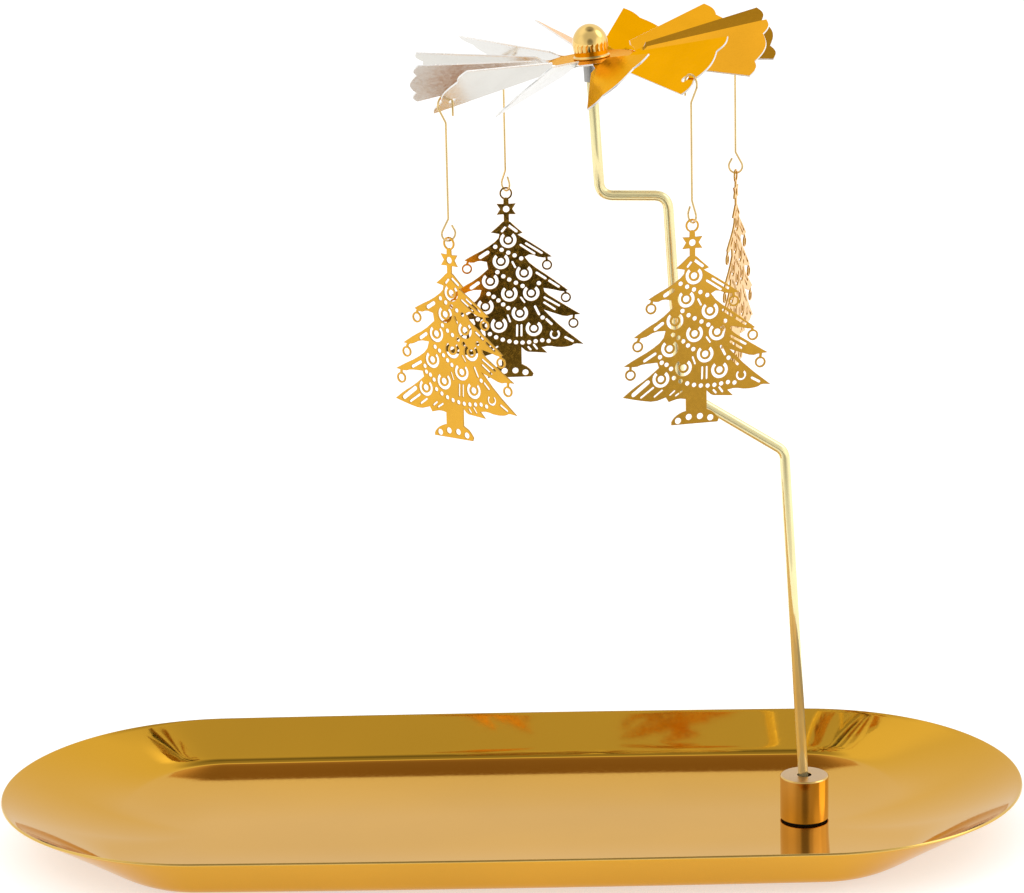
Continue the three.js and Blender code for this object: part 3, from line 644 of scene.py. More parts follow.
ROD_FOOT_AT = SOCKET_FLOOR + SEAT_GAP + ROD_RADIUS * math.sin(math.radians(ROD_LEAN))
ROD_PLACE = Matrix.Translation((FOOT_X + ROD_FOOT_SHIFT, FOOT_Y, ROD_FOOT_AT)) @ turn("Y", -ROD_LEAN)
STEP_TOP = LOWER_UPRIGHT + STEP_RISE
ARM_START = STEP_TOP + MIDDLE_UPRIGHT
ARM_END = ARM_START + ARM_RISE
TOP_X = -STEP_RUN - ARM_RUN
POINT_HEIGHT = ARM_END + POINT_ABOVE_ARM
FERRULE_TOP = POINT_HEIGHT - POINT_LENGTH
ROD_TOP = FERRULE_TOP - FERRULE_ABOVE_ROD - FERRULE_GAP


def make_rod():
    corners = [
        Vector((0, 0, 0)),
        Vector((0, 0, LOWER_UPRIGHT)),
        Vector((-STEP_RUN, 0, STEP_TOP)),
        Vector((-STEP_RUN, 0, ARM_START)),
        Vector((TOP_X, 0, ARM_END)),
        Vector((TOP_X, 0, ROD_TOP)),
    ]
    path = bends(corners, ROD_BEND_RADIUS, ROD_BEND_STEPS)
    return bar("rod_bent", path, ROD_RADIUS, ROD_SIDES, [ROD_GOLD], ROD_END_ROUND, ROD_PLACE)


def make_point():
    bore = ROD_RADIUS + FERRULE_GAP
    bottom = FERRULE_TOP - FERRULE_LENGTH
    profile = [
        (0, ROD_TOP + FERRULE_GAP),
        (bore, ROD_TOP + FERRULE_GAP),
        (bore, bottom),
        (FERRULE_RADIUS, bottom),
        (FERRULE_RADIUS, FERRULE_TOP),
        (POINT_TIP_RADIUS, POINT_HEIGHT),
        (0, POINT_HEIGHT),
    ]
    place = ROD_PLACE @ Matrix.Translation((TOP_X, 0, 0))
    return turned("point_turned", profile, [POINT_STEEL], place, POINT_FILLET, POINT_STEPS)


# ---- Wheel

TIP = ROD_PLACE @ Vector((TOP_X, 0, POINT_HEIGHT))
WHEEL_TURN = turn("X", -WHEEL_DIP) @ turn("Y", -WHEEL_LEAN)
WHEEL_PLACE = Matrix.Translation(TIP + WHEEL_TURN @ Vector((0, 0, -POINT_ABOVE_WHEEL))) @ WHEEL_TURN
NOTCH_ACROSS = NOTCH_SHARE * BLADE_TIP_WIDTH / 2
HOLE_REACH = BLADE_NOTCH_RADIUS - HOLE_FROM_NOTCH
UPPER_HOOK_RADIUS = (HOLE_FROM_NOTCH + UPPER_HOOK_PAST_NOTCH) / 2


def circle(x, y, radius, sides, start=90):
    out = []
    for i in range(sides):
        angle = math.radians(start + 360 * i / sides)
        out.append(Vector((x + radius * math.cos(angle), y + radius * math.sin(angle))))
    return out


def lobe(start, end, bulge, steps=12):
    start, end = Vector(start), Vector(end)
    out = []
    for i in range(steps):
        t = i / steps
        out.append(start.lerp(end, t) + Vector((bulge * math.sin(math.pi * t), 0)))
    return out


def blade_outline():
    half = BLADE_TIP_WIDTH / 2
    root = HUB_RADIUS + NECK_LENGTH
    corner_x = BLADE_NOTCH_RADIUS - CORNER_SETBACK
    notch = BLADE_NOTCH_RADIUS
    out = [
        Vector((root, -NECK_WIDTH / 2)),
        Vector((root + SHOULDER_LENGTH, -BLADE_ROOT_WIDTH / 2)),
    ]
    out += lobe((corner_x, -half), (notch, -NOTCH_ACROSS), SIDE_LOBE_BULGE)
    out += lobe((notch, -NOTCH_ACROSS), (notch, NOTCH_ACROSS), MIDDLE_LOBE_BULGE)
    out += lobe((notch, NOTCH_ACROSS), (corner_x, half), SIDE_LOBE_BULGE)
    out += [
        Vector((corner_x, half)),
        Vector((root + SHOULDER_LENGTH, BLADE_ROOT_WIDTH / 2)),
        Vector((root, NECK_WIDTH / 2)),
    ]
    return out


def neck_strip(edge):
    """The twisted neck between the hub disc and the flat of the blade."""
    half = WHEEL_SHEET / 2
    side = NECK_WIDTH / 2
    section = [
        (side - edge, half), (edge - side, half), (-side, half - edge), (-side, edge - half),
        (edge - side, -half), (side - edge, -half), (side, edge - half), (side, half - edge),
    ]
    verts = []
    for i in range(NECK_STEPS + 1):
        x = HUB_RADIUS - NECK_INTO_HUB + (NECK_INTO_HUB + NECK_LENGTH + NECK_INTO_BLADE) * i / NECK_STEPS
        share = min(1, max(0, (x - HUB_RADIUS) / NECK_LENGTH))
        angle = math.radians(BLADE_TWIST) * share
        cos, sin = math.cos(angle), math.sin(angle)
        verts += [(x, y * cos - z * sin, y * sin + z * cos) for y, z in section]
    faces = ring_faces(NECK_STEPS + 1, len(section), closed_ends=False)
    around = [TOP_FACE, EDGE_FACE, EDGE_FACE, EDGE_FACE, UNDER_FACE, EDGE_FACE, EDGE_FACE, EDGE_FACE]
    return verts, faces, around * NECK_STEPS


def blade_azimuth(index):
    return BLADE_START + 360 / BLADE_COUNT * index - 90


def hanger_blade(index):
    return FIRST_HANGER_BLADE + BLADE_COUNT // len(HANGERS) * index


def make_wheel():
    verts, faces, slots = [], [], []

    def add(piece, matrix):
        base = len(verts)
        piece_verts, piece_faces, piece_slots = piece
        verts.extend(WHEEL_PLACE @ matrix @ Vector(v) for v in piece_verts)
        faces.extend(tuple(i + base for i in face) for face in piece_faces)
        slots.extend(piece_slots)

    disc = [
        circle(0, 0, HUB_RADIUS, HUB_STEPS),
        circle(0, 0, CAP_SPIGOT_RADIUS + SEAT_GAP, CAP_HOLE_STEPS),
    ]
    add(plate(disc, WHEEL_SHEET, WHEEL_EDGE), Matrix())
    hanger_blades = [hanger_blade(i) for i in range(len(HANGERS))]
    for index in range(BLADE_COUNT):
        loops = [blade_outline()]
        if index in hanger_blades:
            loops.append(circle(HOLE_REACH, -NOTCH_ACROSS, HOLE_RADIUS, HANGER_HOLE_STEPS))
        spin = turn("Z", blade_azimuth(index))
        add(plate(loops, WHEEL_SHEET, WHEEL_EDGE), spin @ turn("X", BLADE_TWIST))
        add(neck_strip(WHEEL_EDGE), spin)
    # Under faces take a painted reflection of the surroundings, and edge faces a painted highlight
    materials = [WHEEL_TOP, WHEEL_UNDER_PAINTED_REFLECTION, WHEEL_EDGE_PAINTED_HIGHLIGHT]
    return add_object("wheel_sheet", verts, faces, materials, slots, smooth_deg=WHEEL_SMOOTH)


def cap_line():
    """The cap's section as radius and height: up its outside to the crown, then down its inside."""
    crown = POINT_ABOVE_WHEEL + POINT_GAP
    face = WHEEL_SHEET / 2 + SEAT_GAP
    neck = face + 2 * CAP_HEM_THICKNESS
    foot = -face - CAP_HEM_THICKNESS

    def dome(radius, top):
        low = top * CAP_SHOULDER_SHARE
        out = []
        for i in range(CAP_DOME_STEPS):
            angle = math.pi * i / CAP_DOME_STEPS / 2
            out.append((radius * math.cos(angle), low + (top - low) * math.sin(angle)))
        return out

    hems = [
        (CAP_HEM_RADIUS, foot),
        (CAP_HEM_RADIUS, -face),
        (CAP_SPIGOT_RADIUS, -face),
        (CAP_SPIGOT_RADIUS, face),
        (CAP_HEM_RADIUS, face),
        (CAP_HEM_RADIUS, face + CAP_HEM_THICKNESS),
        (CAP_NECK_RADIUS, neck),
    ]
    outside = dome(CAP_RADIUS, crown + CAP_WALL) + [(0, crown + CAP_WALL)]
    inside = [(0, crown)] + dome(CAP_RADIUS - CAP_WALL, crown)[::-1] + [
        (CAP_NECK_RADIUS - CAP_WALL, neck),
        (CAP_SPIGOT_RADIUS - CAP_WALL, face),
        (CAP_SPIGOT_RADIUS - CAP_WALL, foot),
    ]
    return rounded(hems, CAP_FILLET) + [Vector(point) for point in outside + inside]


def make_cap():
    line = cap_line()
    split = next(i for i, point in enumerate(line) if point.x == 0)
    steps = ROUND_STEPS
    verts, faces = [], []
    for part in (line[:split + 1], line[split + 1:]):
        base = len(verts)
        pole_first = part[0].x == 0
        pole = part[0] if pole_first else part[-1]
        rings = part[1:] if pole_first else part[:-1]
        for point in rings:
            for i in range(steps):
                angle = 2 * math.pi * i / steps
                verts.append((point.x * math.cos(angle), point.x * math.sin(angle), point.y))
        verts.append((0, 0, pole.y))
        faces += [tuple(base + v for v in face) for face in ring_faces(len(rings), steps, closed_ends=False)]
        apex = len(verts) - 1
        row = base if pole_first else base + (len(rings) - 1) * steps
        for i in range(steps):
            a, b = row + i, row + (i + 1) % steps
            faces.append((apex, b, a) if pole_first else (apex, a, b))
    last = len(verts) - 1 - steps
    for i in range(steps):
        a, b = last + i, last + (i + 1) % steps
        faces.append((a, b, (i + 1) % steps, i))
    placed = [WHEEL_PLACE @ Vector(v) for v in verts]
    return add_object("cap_spun", placed, faces, [CAP_GOLD], smooth_deg=ROUND_SMOOTH)


# ---- Hooked wires

def hang_point(index):
    """Centre of a wire's upper hook over its blade's hole, and the level direction away from the wheel."""
    spin = turn("Z", blade_azimuth(hanger_blade(index)))
    slope = math.radians(BLADE_TWIST)
    hole = Vector((HOLE_REACH, -NOTCH_ACROSS * math.cos(slope), -NOTCH_ACROSS * math.sin(slope)))
    outward = (spin @ Vector((1, 0, 0))).normalized()
    reach = math.sqrt(UPPER_HOOK_RADIUS**2 - UPPER_HOOK_DROP**2)
    centre = WHEEL_PLACE @ spin @ hole + outward * reach - UP * UPPER_HOOK_DROP
    return centre, outward


def make_wire(index):
    name, _, hook_facing = HANGERS[index]
    centre, outward = hang_point(index)
    facing = turn("Z", hook_facing) @ Vector((1, 0, 0))
    hook_centre = centre + UP * (LOWER_HOOK_RADIUS - WIRE_LENGTH)
    apex = centre + UP * (LOWER_HOOK_HEIGHT - WIRE_LENGTH)
    touch = math.degrees(math.asin(LOWER_HOOK_RADIUS / (LOWER_HOOK_HEIGHT - LOWER_HOOK_RADIUS)))
    bow = arc(hook_centre, facing, UP, LOWER_HOOK_RADIUS, touch, -180 - touch)
    way = (apex - bow[-1]).normalized()
    path = [centre - outward * UPPER_HOOK_RADIUS - UP * STUB_LENGTH]
    path += arc(centre, outward, UP, UPPER_HOOK_RADIUS, 180, 0)
    corners = [
        path[-1],
        centre + outward * UPPER_HOOK_RADIUS - UP * OUTER_LEG,
        centre - UP * (OUTER_LEG + JOG_DROP),
        apex,
        bow[0],
    ]
    path += bends(corners, WIRE_BEND_RADIUS, WIRE_BEND_STEPS)[1:]
    path += bow[1:]
    path.append(bow[-1] + way * LOWER_HOOK_TIP)
    return bar("wire_" + name, path, WIRE_RADIUS, WIRE_SIDES, [WIRE_GOLD], WIRE_END_ROUND)


# ---- Trees. Shares of the tree's height: across from its middle line, and down from the top of its ring.

CONTOUR_SHARES = [
    (0.014, 0.176), (0.048, 0.21), (0.082, 0.24), (0.056, 0.25),
    (0.154, 0.314), (0.23, 0.37), (0.172, 0.376), (0.12, 0.352), (0.09, 0.368),
    (0.12, 0.408), (0.222, 0.48), (0.31, 0.55), (0.284, 0.557), (0.233, 0.543), (0.184, 0.534),
    (0.19, 0.56), (0.275, 0.616), (0.373, 0.679), (0.33, 0.68), (0.294, 0.689), (0.233, 0.667), (0.182, 0.648),
    (0.27, 0.742), (0.386, 0.837), (0.34, 0.832), (0.32, 0.846), (0.262, 0.851), (0.205, 0.84),
    (0.168, 0.847), (0.197, 0.877), (0.118, 0.87), (0.09, 0.868), (0.064, 0.842),
    (0.064, 0.932), (0.1, 0.952), (0.124, 0.984), (0.118, 1.0),
    (-0.114, 1.0), (-0.113, 0.982), (-0.092, 0.958), (-0.06, 0.94), (-0.04, 0.936),
    (-0.04, 0.876), (-0.076, 0.87), (-0.126, 0.884), (-0.14, 0.86), (-0.198, 0.878), (-0.268, 0.866),
    (-0.352, 0.845), (-0.3, 0.804), (-0.232, 0.762), (-0.172, 0.713),
    (-0.18, 0.686), (-0.255, 0.688), (-0.286, 0.7), (-0.345, 0.693), (-0.285, 0.66), (-0.215, 0.626),
    (-0.15, 0.58), (-0.136, 0.534), (-0.19, 0.533), (-0.246, 0.562), (-0.294, 0.557), (-0.233, 0.516),
    (-0.162, 0.478), (-0.1, 0.426), (-0.106, 0.388), (-0.145, 0.379), (-0.18, 0.393), (-0.22, 0.376),
    (-0.18, 0.353), (-0.11, 0.319), (-0.044, 0.272), (-0.038, 0.244), (-0.081, 0.235), (-0.044, 0.205),
    (-0.014, 0.176),
]
STAR_CENTRE_SHARE = 0.115
STAR_TIP_SHARE = 0.057
STAR_VALLEY_SHARE = 0.031
STAR_HOLE_SHARE = 0.017
STAR_POINTS = 6
NECK_WIDTH_SHARE = 0.027
NECK_BELOW_RING_SHARE = 0.006
NECK_STAR_RIM_SHARE = 0.014
NECK_END_SHARE = 0.196
# What is joined to the tree's body is a little thinner than it, so that no two faces coincide
RING_SHEET_SHARE = 0.96
STAR_SHEET_SHARE = 0.98
NECK_SHEET_SHARE = 0.94
BALL_SHEET_SHARE = 0.96
STEM_SHEET_SHARE = 0.92
# Centre of each hanging ball, and where its stem meets the branch
DROP_BALL_SHARES = [
    (0.204, 0.413, 0.2, 0.36), (0.298, 0.587, 0.29, 0.54), (0.335, 0.724, 0.34, 0.67),
    (-0.208, 0.421, -0.196, 0.37), (-0.276, 0.601, -0.262, 0.55), (-0.314, 0.737, -0.312, 0.69),
]
DROP_BALL_RADIUS_SHARE = 0.027
DROP_BALL_HOLE_SHARE = 0.0185
DROP_STEM_SHARE = 0.012
CUT_BALL_SHARES = [
    (0.007, 0.276), (-0.033, 0.386), (0.085, 0.451), (-0.09, 0.489), (0.007, 0.558), (0.12, 0.558),
    (-0.118, 0.622), (0.059, 0.662), (-0.05, 0.721), (0.13, 0.745), (-0.163, 0.768),
]
SMALL_BALL_SHARES = [(0.238, 0.78)]
SMALL_BALL_SIZE = 0.62
SLOT_OUTER_SHARE = 0.0425
SLOT_INNER_SHARE = 0.0265
BALL_HOLE_SHARE = 0.0165
SLOT_GAP = 76
# Width of each needle slot, and its two ends
NEEDLE_SHARES = [
    (0.012, -0.024, 0.23, -0.004, 0.206), (0.014, 0.012, 0.202, 0.05, 0.232),
    (0.011, 0.07, 0.304, 0.14, 0.352), (0.011, 0.098, 0.297, 0.178, 0.35),
    (0.02, -0.138, 0.362, -0.1, 0.338), (0.018, -0.188, 0.522, -0.152, 0.497),
    (0.012, 0.15, 0.453, 0.195, 0.484), (0.012, 0.214, 0.497, 0.262, 0.53),
    (0.015, -0.243, 0.673, -0.19, 0.642), (0.011, 0.188, 0.584, 0.262, 0.629),
    (0.011, 0.186, 0.611, 0.24, 0.648), (0.022, -0.3, 0.835, -0.228, 0.779),
    (0.011, -0.262, 0.851, -0.202, 0.808), (0.01, -0.196, 0.852, -0.158, 0.824),
    (0.009, -0.118, 0.85, -0.096, 0.832), (0.009, -0.09, 0.856, -0.06, 0.836),
    (0.012, 0.292, 0.798, 0.33, 0.82), (0.012, 0.196, 0.7, 0.222, 0.726),
    (0.01, 0.044, 0.726, 0.042, 0.782), (0.01, 0.066, 0.726, 0.065, 0.782),
    (0.01, 0.026, 0.392, 0.04, 0.42), (0.012, 0.138, 0.63, 0.158, 0.672),
    (0.009, 0.066, 0.58, 0.084, 0.606), (0.009, -0.004, 0.672, 0.008, 0.706),
    (0.01, 0.099, 0.843, 0.111, 0.857), (0.01, 0.128, 0.832, 0.144, 0.854),
]
GARLAND_SHARES = [
    (-0.098, 0.768), (-0.066, 0.786), (-0.032, 0.8), (0.002, 0.81), (0.036, 0.816), (0.07, 0.819),
    (0.104, 0.818), (0.138, 0.814), (0.172, 0.81), (0.205, 0.815),
    (-0.06, 0.31), (-0.028, 0.327), (0.006, 0.343), (0.038, 0.358), (0.072, 0.375),
    (-0.052, 0.443), (-0.022, 0.466), (0.008, 0.484), (0.042, 0.502),
    (0.076, 0.52), (0.16, 0.508),
    (-0.1, 0.556), (-0.074, 0.572), (-0.05, 0.592), (-0.026, 0.614), (0.0, 0.634),
    (-0.166, 0.66), (-0.158, 0.688), (-0.134, 0.7), (-0.112, 0.722),
    (0.176, 0.69),
]
GARLAND_DOT_SHARE = 0.0115
MOUND_HOLE_SHARES = [(-0.08, 0.981), (-0.026, 0.966), (0.03, 0.966), (0.082, 0.977)]
MOUND_HOLE_SHARE = 0.016
SHARP_TIP = 55
CORNER_CUT_SHARE = 0.25


def on_tree(across, down):
    return Vector((across, -down)) * TREE_HEIGHT


def dot_loop(across, down, radius_share, sides):
    at = on_tree(across, down)
    return circle(at.x, at.y, radius_share * TREE_HEIGHT, sides)


def strip(width_share, from_across, from_down, to_across, to_down, steps=4):
    """A slot with round ends."""
    start, end = on_tree(from_across, from_down), on_tree(to_across, to_down)
    way = (end - start).normalized()
    side = Vector((-way.y, way.x))
    half = width_share * TREE_HEIGHT / 2
    out = []
    for centre, first in ((start, 90), (end, -90)):
        for i in range(steps + 1):
            angle = math.radians(first + 180 * i / steps)
            out.append(centre + (way * math.cos(angle) + side * math.sin(angle)) * half)
    return out


def horseshoe(across, down, size=1.0):
    """The slot round a ball, open at its top."""
    at = on_tree(across, down)
    first, last = 90 + SLOT_GAP / 2, 450 - SLOT_GAP / 2
    out = []
    for share, begin, end, steps in (
        (SLOT_OUTER_SHARE, first, last, SLOT_OUTER_STEPS),
        (SLOT_INNER_SHARE, last, first, SLOT_INNER_STEPS),
    ):
        for i in range(steps + 1):
            angle = math.radians(begin + (end - begin) * i / steps)
            out.append(at + Vector((math.cos(angle), math.sin(angle))) * (share * size * TREE_HEIGHT))
    return out


def softened(loop):
    """The outline with its blunt corners cut, and its sharp tips kept."""
    out = []
    for i, here in enumerate(loop):
        before, after = loop[i - 1], loop[(i + 1) % len(loop)]
        if (here - before).angle(after - here) > math.radians(SHARP_TIP):
            out.append(here)
        else:
            out += [here.lerp(before, CORNER_CUT_SHARE), here.lerp(after, CORNER_CUT_SHARE)]
    return out


def star_loop():
    out = []
    centre = on_tree(0, STAR_CENTRE_SHARE)
    for i in range(2 * STAR_POINTS):
        radius = (STAR_TIP_SHARE, STAR_VALLEY_SHARE)[i % 2] * TREE_HEIGHT
        angle = math.radians(90 + 360 * i / (2 * STAR_POINTS))
        out.append(centre + Vector((math.cos(angle), math.sin(angle))) * radius)
    return out


def tree_plates():
    """Loops and thickness of the tree's body with its openings, and of each form that is joined to it."""
    holes = [horseshoe(*place) for place in CUT_BALL_SHARES]
    holes += [dot_loop(*place, BALL_HOLE_SHARE, BALL_HOLE_STEPS) for place in CUT_BALL_SHARES]
    holes += [horseshoe(*place, size=SMALL_BALL_SIZE) for place in SMALL_BALL_SHARES]
    holes += [strip(*slot) for slot in NEEDLE_SHARES]
    holes += [dot_loop(*place, GARLAND_DOT_SHARE, GARLAND_DOT_STEPS) for place in GARLAND_SHARES]
    holes += [dot_loop(*place, MOUND_HOLE_SHARE, MOUND_HOLE_STEPS) for place in MOUND_HOLE_SHARES]
    body = softened([on_tree(*point) for point in CONTOUR_SHARES])
    ring = [
        circle(0, -TREE_RING_RADIUS, TREE_RING_RADIUS, RING_STEPS),
        circle(0, -TREE_RING_RADIUS, TREE_RING_RADIUS - TREE_RING_WIDTH, RING_HOLE_STEPS),
    ]
    star = [star_loop(), dot_loop(0, STAR_CENTRE_SHARE, STAR_HOLE_SHARE, STAR_HOLE_STEPS)]
    neck_top = (2 * TREE_RING_RADIUS - TREE_RING_WIDTH / 2) / TREE_HEIGHT + NECK_BELOW_RING_SHARE
    star_reach = STAR_HOLE_SHARE + NECK_STAR_RIM_SHARE
    upper_neck = strip(NECK_WIDTH_SHARE, 0, neck_top, 0, STAR_CENTRE_SHARE - star_reach)
    lower_neck = strip(NECK_WIDTH_SHARE, 0, STAR_CENTRE_SHARE + star_reach, 0, NECK_END_SHARE)
    forms = [
        ([body] + holes, 1),
        (ring, RING_SHEET_SHARE),
        (star, STAR_SHEET_SHARE),
        ([upper_neck], NECK_SHEET_SHARE),
        ([lower_neck], NECK_SHEET_SHARE),
    ]
    rim = (DROP_BALL_RADIUS_SHARE + DROP_BALL_HOLE_SHARE) / 2
    for across, down, stem_across, stem_down in DROP_BALL_SHARES:
        ball = [
            dot_loop(across, down, DROP_BALL_RADIUS_SHARE, DROP_BALL_STEPS),
            dot_loop(across, down, DROP_BALL_HOLE_SHARE, DROP_HOLE_STEPS),
        ]
        stem = strip(DROP_STEM_SHARE, across, down - rim, stem_across, stem_down)
        forms += [(ball, BALL_SHEET_SHARE), ([stem], STEM_SHEET_SHARE)]
    return [(loops, share * TREE_SHEET) for loops, share in forms]


def make_tree(index, plates):
    name, facing, _ = HANGERS[index]
    centre, _ = hang_point(index)
    ring_top = WIRE_RADIUS + HANG_GAP + TREE_RING_WIDTH - WIRE_LENGTH
    place = Matrix.Translation(centre + UP * ring_top) @ turn("Z", facing) @ turn("X", 90)
    verts, faces, slots = [], [], []
    for piece_verts, piece_faces, piece_slots in plates:
        base = len(verts)
        verts += [place @ Vector(v) for v in piece_verts]
        faces += [tuple(i + base for i in face) for face in piece_faces]
        slots += [int(slot == EDGE_FACE) for slot in piece_slots]
    return add_object("tree_sheet_" + name, verts, faces, [TREE_GOLD, TREE_EDGE], slots)


# ---- Pieces on their bodies

def dress(piece, body, node):
    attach(piece, body)
    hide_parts(node)


dress(make_tray(), "tray", "tray")
dress(make_foot(), "base", "base_body")
dress(make_rod(), "rod", "rod")
dress(make_point(), "rod", "pivot_tip")
dress(make_wheel(), "rotor", "rotor_plate")
dress(make_cap(), "rotor", "dome_cap")
TREE_PLATES = [plate(loops, thickness, TREE_EDGE_ROUND) for loops, thickness in tree_plates()]
for index, (name, _, _) in enumerate(HANGERS):
    dress(make_wire(index), "wire_" + name, "hook_wire_" + name)
    dress(make_tree(index, TREE_PLATES), "tree_" + name, "tree_" + name)


def finish_node(node, material):
    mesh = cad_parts[node].data
    for i in range(len(mesh.materials)):
        mesh.materials[i] = material


finish_node("base_pad", PAD_RUBBER)
finish_node("base_magnet", MAGNET_STEEL)


# ---- Floor, card, lamps, world and camera, in metres

FLOOR_SIZE = 12
FLOOR_DROP = 0.00005
FLOOR_GREY = 0.7
FLOOR_LIFT = 0.52
# The dark card in front lies just over the floor, and only reflections see it
CARD_AT = (0.05, -0.75, 0.0005)
CARD_SIZE = (1.9, 1.25)
CARD_DARK_REACH = (0.45, 0.62)
CARD_FADE = (0.25, 1.3)
CARD_MIDDLE = 0.03
CARD_RIM = 1.0
# Name, place, size and power of each soft lamp
LAMPS = [
    ("key_left", (-0.9, -0.5, 1.1), (0.7, 0.7), 2.5),
    ("fill_right", (1.0, -0.1, 0.7), (0.35, 0.9), 1.5),
]
LAMP_TARGET = (0, 0, 0.1)
DIFFUSE_LIGHT = 0.92
MIRRORED_BASE = 0.97
# Direction, start and full cosine, and gain of each soft patch that the metal mirrors
MIRRORED_LIGHT = [
    ((0, 0.1, 0.99), 0.88, 0.98, -0.58),
    ((-0.5, 0.1, 0.8), 0.85, 0.97, 0.12),
    ((0, -0.75, 0.66), 0.5, 0.97, -0.33),
    ((0, -0.95, 0.2), 0.9, 0.99, -0.4),
    ((0.85, -0.5, 0.15), 0.88, 0.97, 0.3),
    ((-0.85, -0.4, 0.2), 0.88, 0.97, 0.08),
    ((0.93, 0.12, 0.35), 0.86, 0.98, 0.2),
    ((0.74, 0.04, 0.67), 0.93, 0.985, 1.3),
]


def stage_plane(name, centre, size, material):
    x, y = size[0] / 2, size[1] / 2
    mesh = bpy.data.meshes.new(name)
    mesh.from_pydata([(-x, -y, 0), (x, -y, 0), (x, y, 0), (-x, y, 0)], [], [(0, 1, 2, 3)])
    mesh.materials.append(material)
    plane = bpy.data.objects.new(name, mesh)
    plane.location = centre
    bpy.context.collection.objects.link(plane)
    return plane


def floor_material():
    """Pale diffuse floor, with a little light of its own for what the camera and reflections see of it."""
    material, tree = new_material("floor_white")
    link = tree.links.new
    shader = tree.nodes["Principled BSDF"]
    set_inputs(shader, {
        "Base Color": (FLOOR_GREY, FLOOR_GREY, FLOOR_GREY, 1),
        "Roughness": 0.9,
        "Specular IOR Level": 0.0,
        "Emission Color": (1, 1, 1, 1),
    })
    speck = add_node(tree, "ShaderNodeTexNoise", {"Scale": 400})
    relief = add_node(tree, "ShaderNodeBump", {"Strength": 0.05, "Distance": 0.0001})
    link(speck.outputs["Fac"], relief.inputs["Height"])
    link(relief.outputs["Normal"], shader.inputs["Normal"])
    rays = add_node(tree, "ShaderNodeLightPath")
    seen = add_node(tree, "ShaderNodeMath", operation="MAXIMUM")
    link(rays.outputs["Is Camera Ray"], seen.inputs[0])
    link(rays.outputs["Is Glossy Ray"], seen.inputs[1])
    also = add_node(tree, "ShaderNodeMath", operation="MAXIMUM")
    link(seen.outputs[0], also.inputs[0])
    link(rays.outputs["Is Transmission Ray"], also.inputs[1])
    lift = add_node(tree, "ShaderNodeMath", {1: FLOOR_LIFT}, operation="MULTIPLY")
    link(also.outputs[0], lift.inputs[0])
    link(lift.outputs[0], shader.inputs["Emission Strength"])
    return material


def card_material():
    """Dark in the middle, fading to white at the rim of an ellipse."""
    material, tree = new_material("card_dark")
    tree.nodes.clear()
    link = tree.links.new
    place = add_node(tree, "ShaderNodeTexCoord")
    squeeze = add_node(tree, "ShaderNodeMapping", {"Scale": [1 / reach for reach in CARD_DARK_REACH] + [1]})
    distance = add_node(tree, "ShaderNodeVectorMath", operation="LENGTH")
    fade = add_node(
        tree,
        "ShaderNodeMapRange",
        {"From Min": CARD_FADE[0], "From Max": CARD_FADE[1], "To Min": CARD_MIDDLE, "To Max": CARD_RIM},
        interpolation_type="SMOOTHSTEP",
    )
    glow = add_node(tree, "ShaderNodeEmission")
    out = add_node(tree, "ShaderNodeOutputMaterial")
    link(place.outputs["Object"], squeeze.inputs["Vector"])
    link(squeeze.outputs["Vector"], distance.inputs[0])
    link(distance.outputs["Value"], fade.inputs["Value"])
    link(fade.outputs["Result"], glow.inputs["Strength"])
    link(glow.outputs["Emission"], out.inputs["Surface"])
    return material


def seen_by_reflections_only(obj):
    obj.visible_camera = False
    obj.visible_diffuse = False
    obj.visible_transmission = False
    obj.visible_volume_scatter = False
    obj.visible_shadow = False


def soft_lamp(name, place, size, power):
    """An area lamp that lights matt surfaces and isn't mirrored."""
    data = bpy.data.lights.new(name, "AREA")
    data.shape = "RECTANGLE"
    data.size, data.size_y = size
    data.energy = power
    lamp = bpy.data.objects.new(name, data)
    lamp.location = place
    lamp.rotation_euler = (Vector(LAMP_TARGET) - Vector(place)).to_track_quat("-Z", "Y").to_euler()
    lamp.visible_glossy = False
    bpy.context.collection.objects.link(lamp)


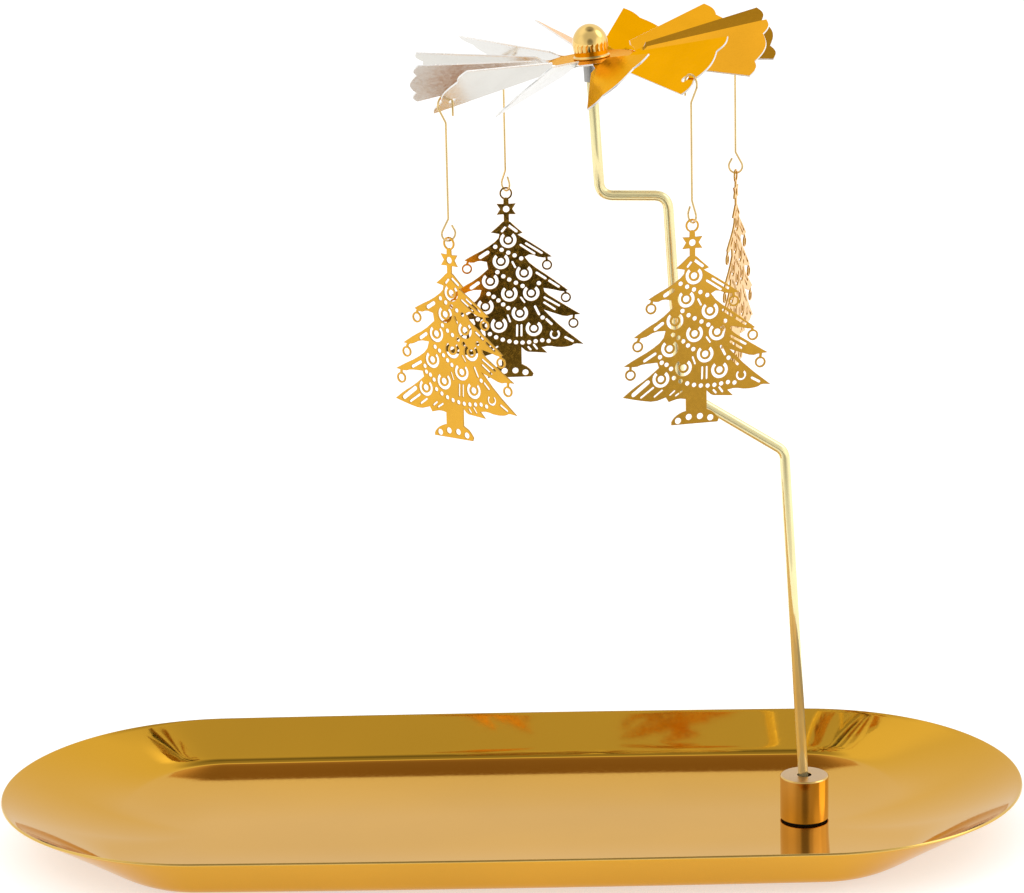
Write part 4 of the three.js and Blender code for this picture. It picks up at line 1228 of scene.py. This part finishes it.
def studio_world():
    """White where the camera sees it, even for diffuse light, and softly uneven where metal mirrors it."""
    world = bpy.data.worlds.new("studio")
    bpy.context.scene.world = world
    world.use_nodes = True
    tree = world.node_tree
    tree.nodes.clear()
    link = tree.links.new
    place = add_node(tree, "ShaderNodeTexCoord")
    total = None
    for way, start, full, gain in MIRRORED_LIGHT:
        toward = add_node(
            tree, "ShaderNodeVectorMath", {1: Vector(way).normalized()}, operation="DOT_PRODUCT"
        )
        link(place.outputs["Generated"], toward.inputs[0])
        patch = add_node(
            tree,
            "ShaderNodeMapRange",
            {"From Min": start, "From Max": full, "To Max": gain},
            interpolation_type="SMOOTHSTEP",
        )
        link(toward.outputs["Value"], patch.inputs["Value"])
        add = add_node(tree, "ShaderNodeMath", {0: MIRRORED_BASE}, operation="ADD")
        if total:
            link(total, add.inputs[0])
        link(patch.outputs["Result"], add.inputs[1])
        total = add.outputs[0]
    rays = add_node(tree, "ShaderNodeLightPath")
    mirrored = add_node(tree, "ShaderNodeMix", {"A": DIFFUSE_LIGHT})
    link(rays.outputs["Is Glossy Ray"], mirrored.inputs["Factor"])
    link(total, mirrored.inputs["B"])
    seen = add_node(tree, "ShaderNodeMix", {"B": 1.0})
    link(rays.outputs["Is Camera Ray"], seen.inputs["Factor"])
    link(mirrored.outputs["Result"], seen.inputs["A"])
    background = add_node(tree, "ShaderNodeBackground", {"Color": (1, 1, 1, 1)})
    out = add_node(tree, "ShaderNodeOutputWorld")
    link(seen.outputs["Result"], background.inputs["Strength"])
    link(background.outputs["Background"], out.inputs["Surface"])


def place_camera():
    elevation, azimuth, roll = (math.radians(v) for v in (CAMERA_ELEVATION, CAMERA_AZIMUTH, CAMERA_ROLL))
    back = Vector((
        math.sin(azimuth) * math.cos(elevation),
        -math.cos(azimuth) * math.cos(elevation),
        math.sin(elevation),
    ))
    right = (-back).cross(UP).normalized()
    up = right.cross(-back)
    rolled_right = right * math.cos(roll) + up * math.sin(roll)
    rolled_up = up * math.cos(roll) - right * math.sin(roll)
    data = bpy.data.cameras.new("camera")
    data.sensor_width = SENSOR_WIDTH
    data.lens = FOCAL_PX * SENSOR_WIDTH / IMAGE_WIDTH
    data.clip_start = CLIP_NEAR
    data.clip_end = CLIP_FAR
    camera = bpy.data.objects.new("camera", data)
    camera.matrix_world = Matrix((
        (rolled_right.x, rolled_up.x, back.x, CAMERA_AT[0] * MM),
        (rolled_right.y, rolled_up.y, back.y, CAMERA_AT[1] * MM),
        (rolled_right.z, rolled_up.z, back.z, CAMERA_AT[2] * MM),
        (0, 0, 0, 1),
    ))
    bpy.context.collection.objects.link(camera)
    bpy.context.scene.camera = camera


stage_plane("floor", (0, 0, -FLOOR_DROP), (FLOOR_SIZE, FLOOR_SIZE), floor_material())
seen_by_reflections_only(stage_plane("card_front", CARD_AT, CARD_SIZE, card_material()))
for lamp in LAMPS:
    soft_lamp(*lamp)
studio_world()
place_camera()

view = bpy.context.scene.view_settings
view.view_transform = "Standard"
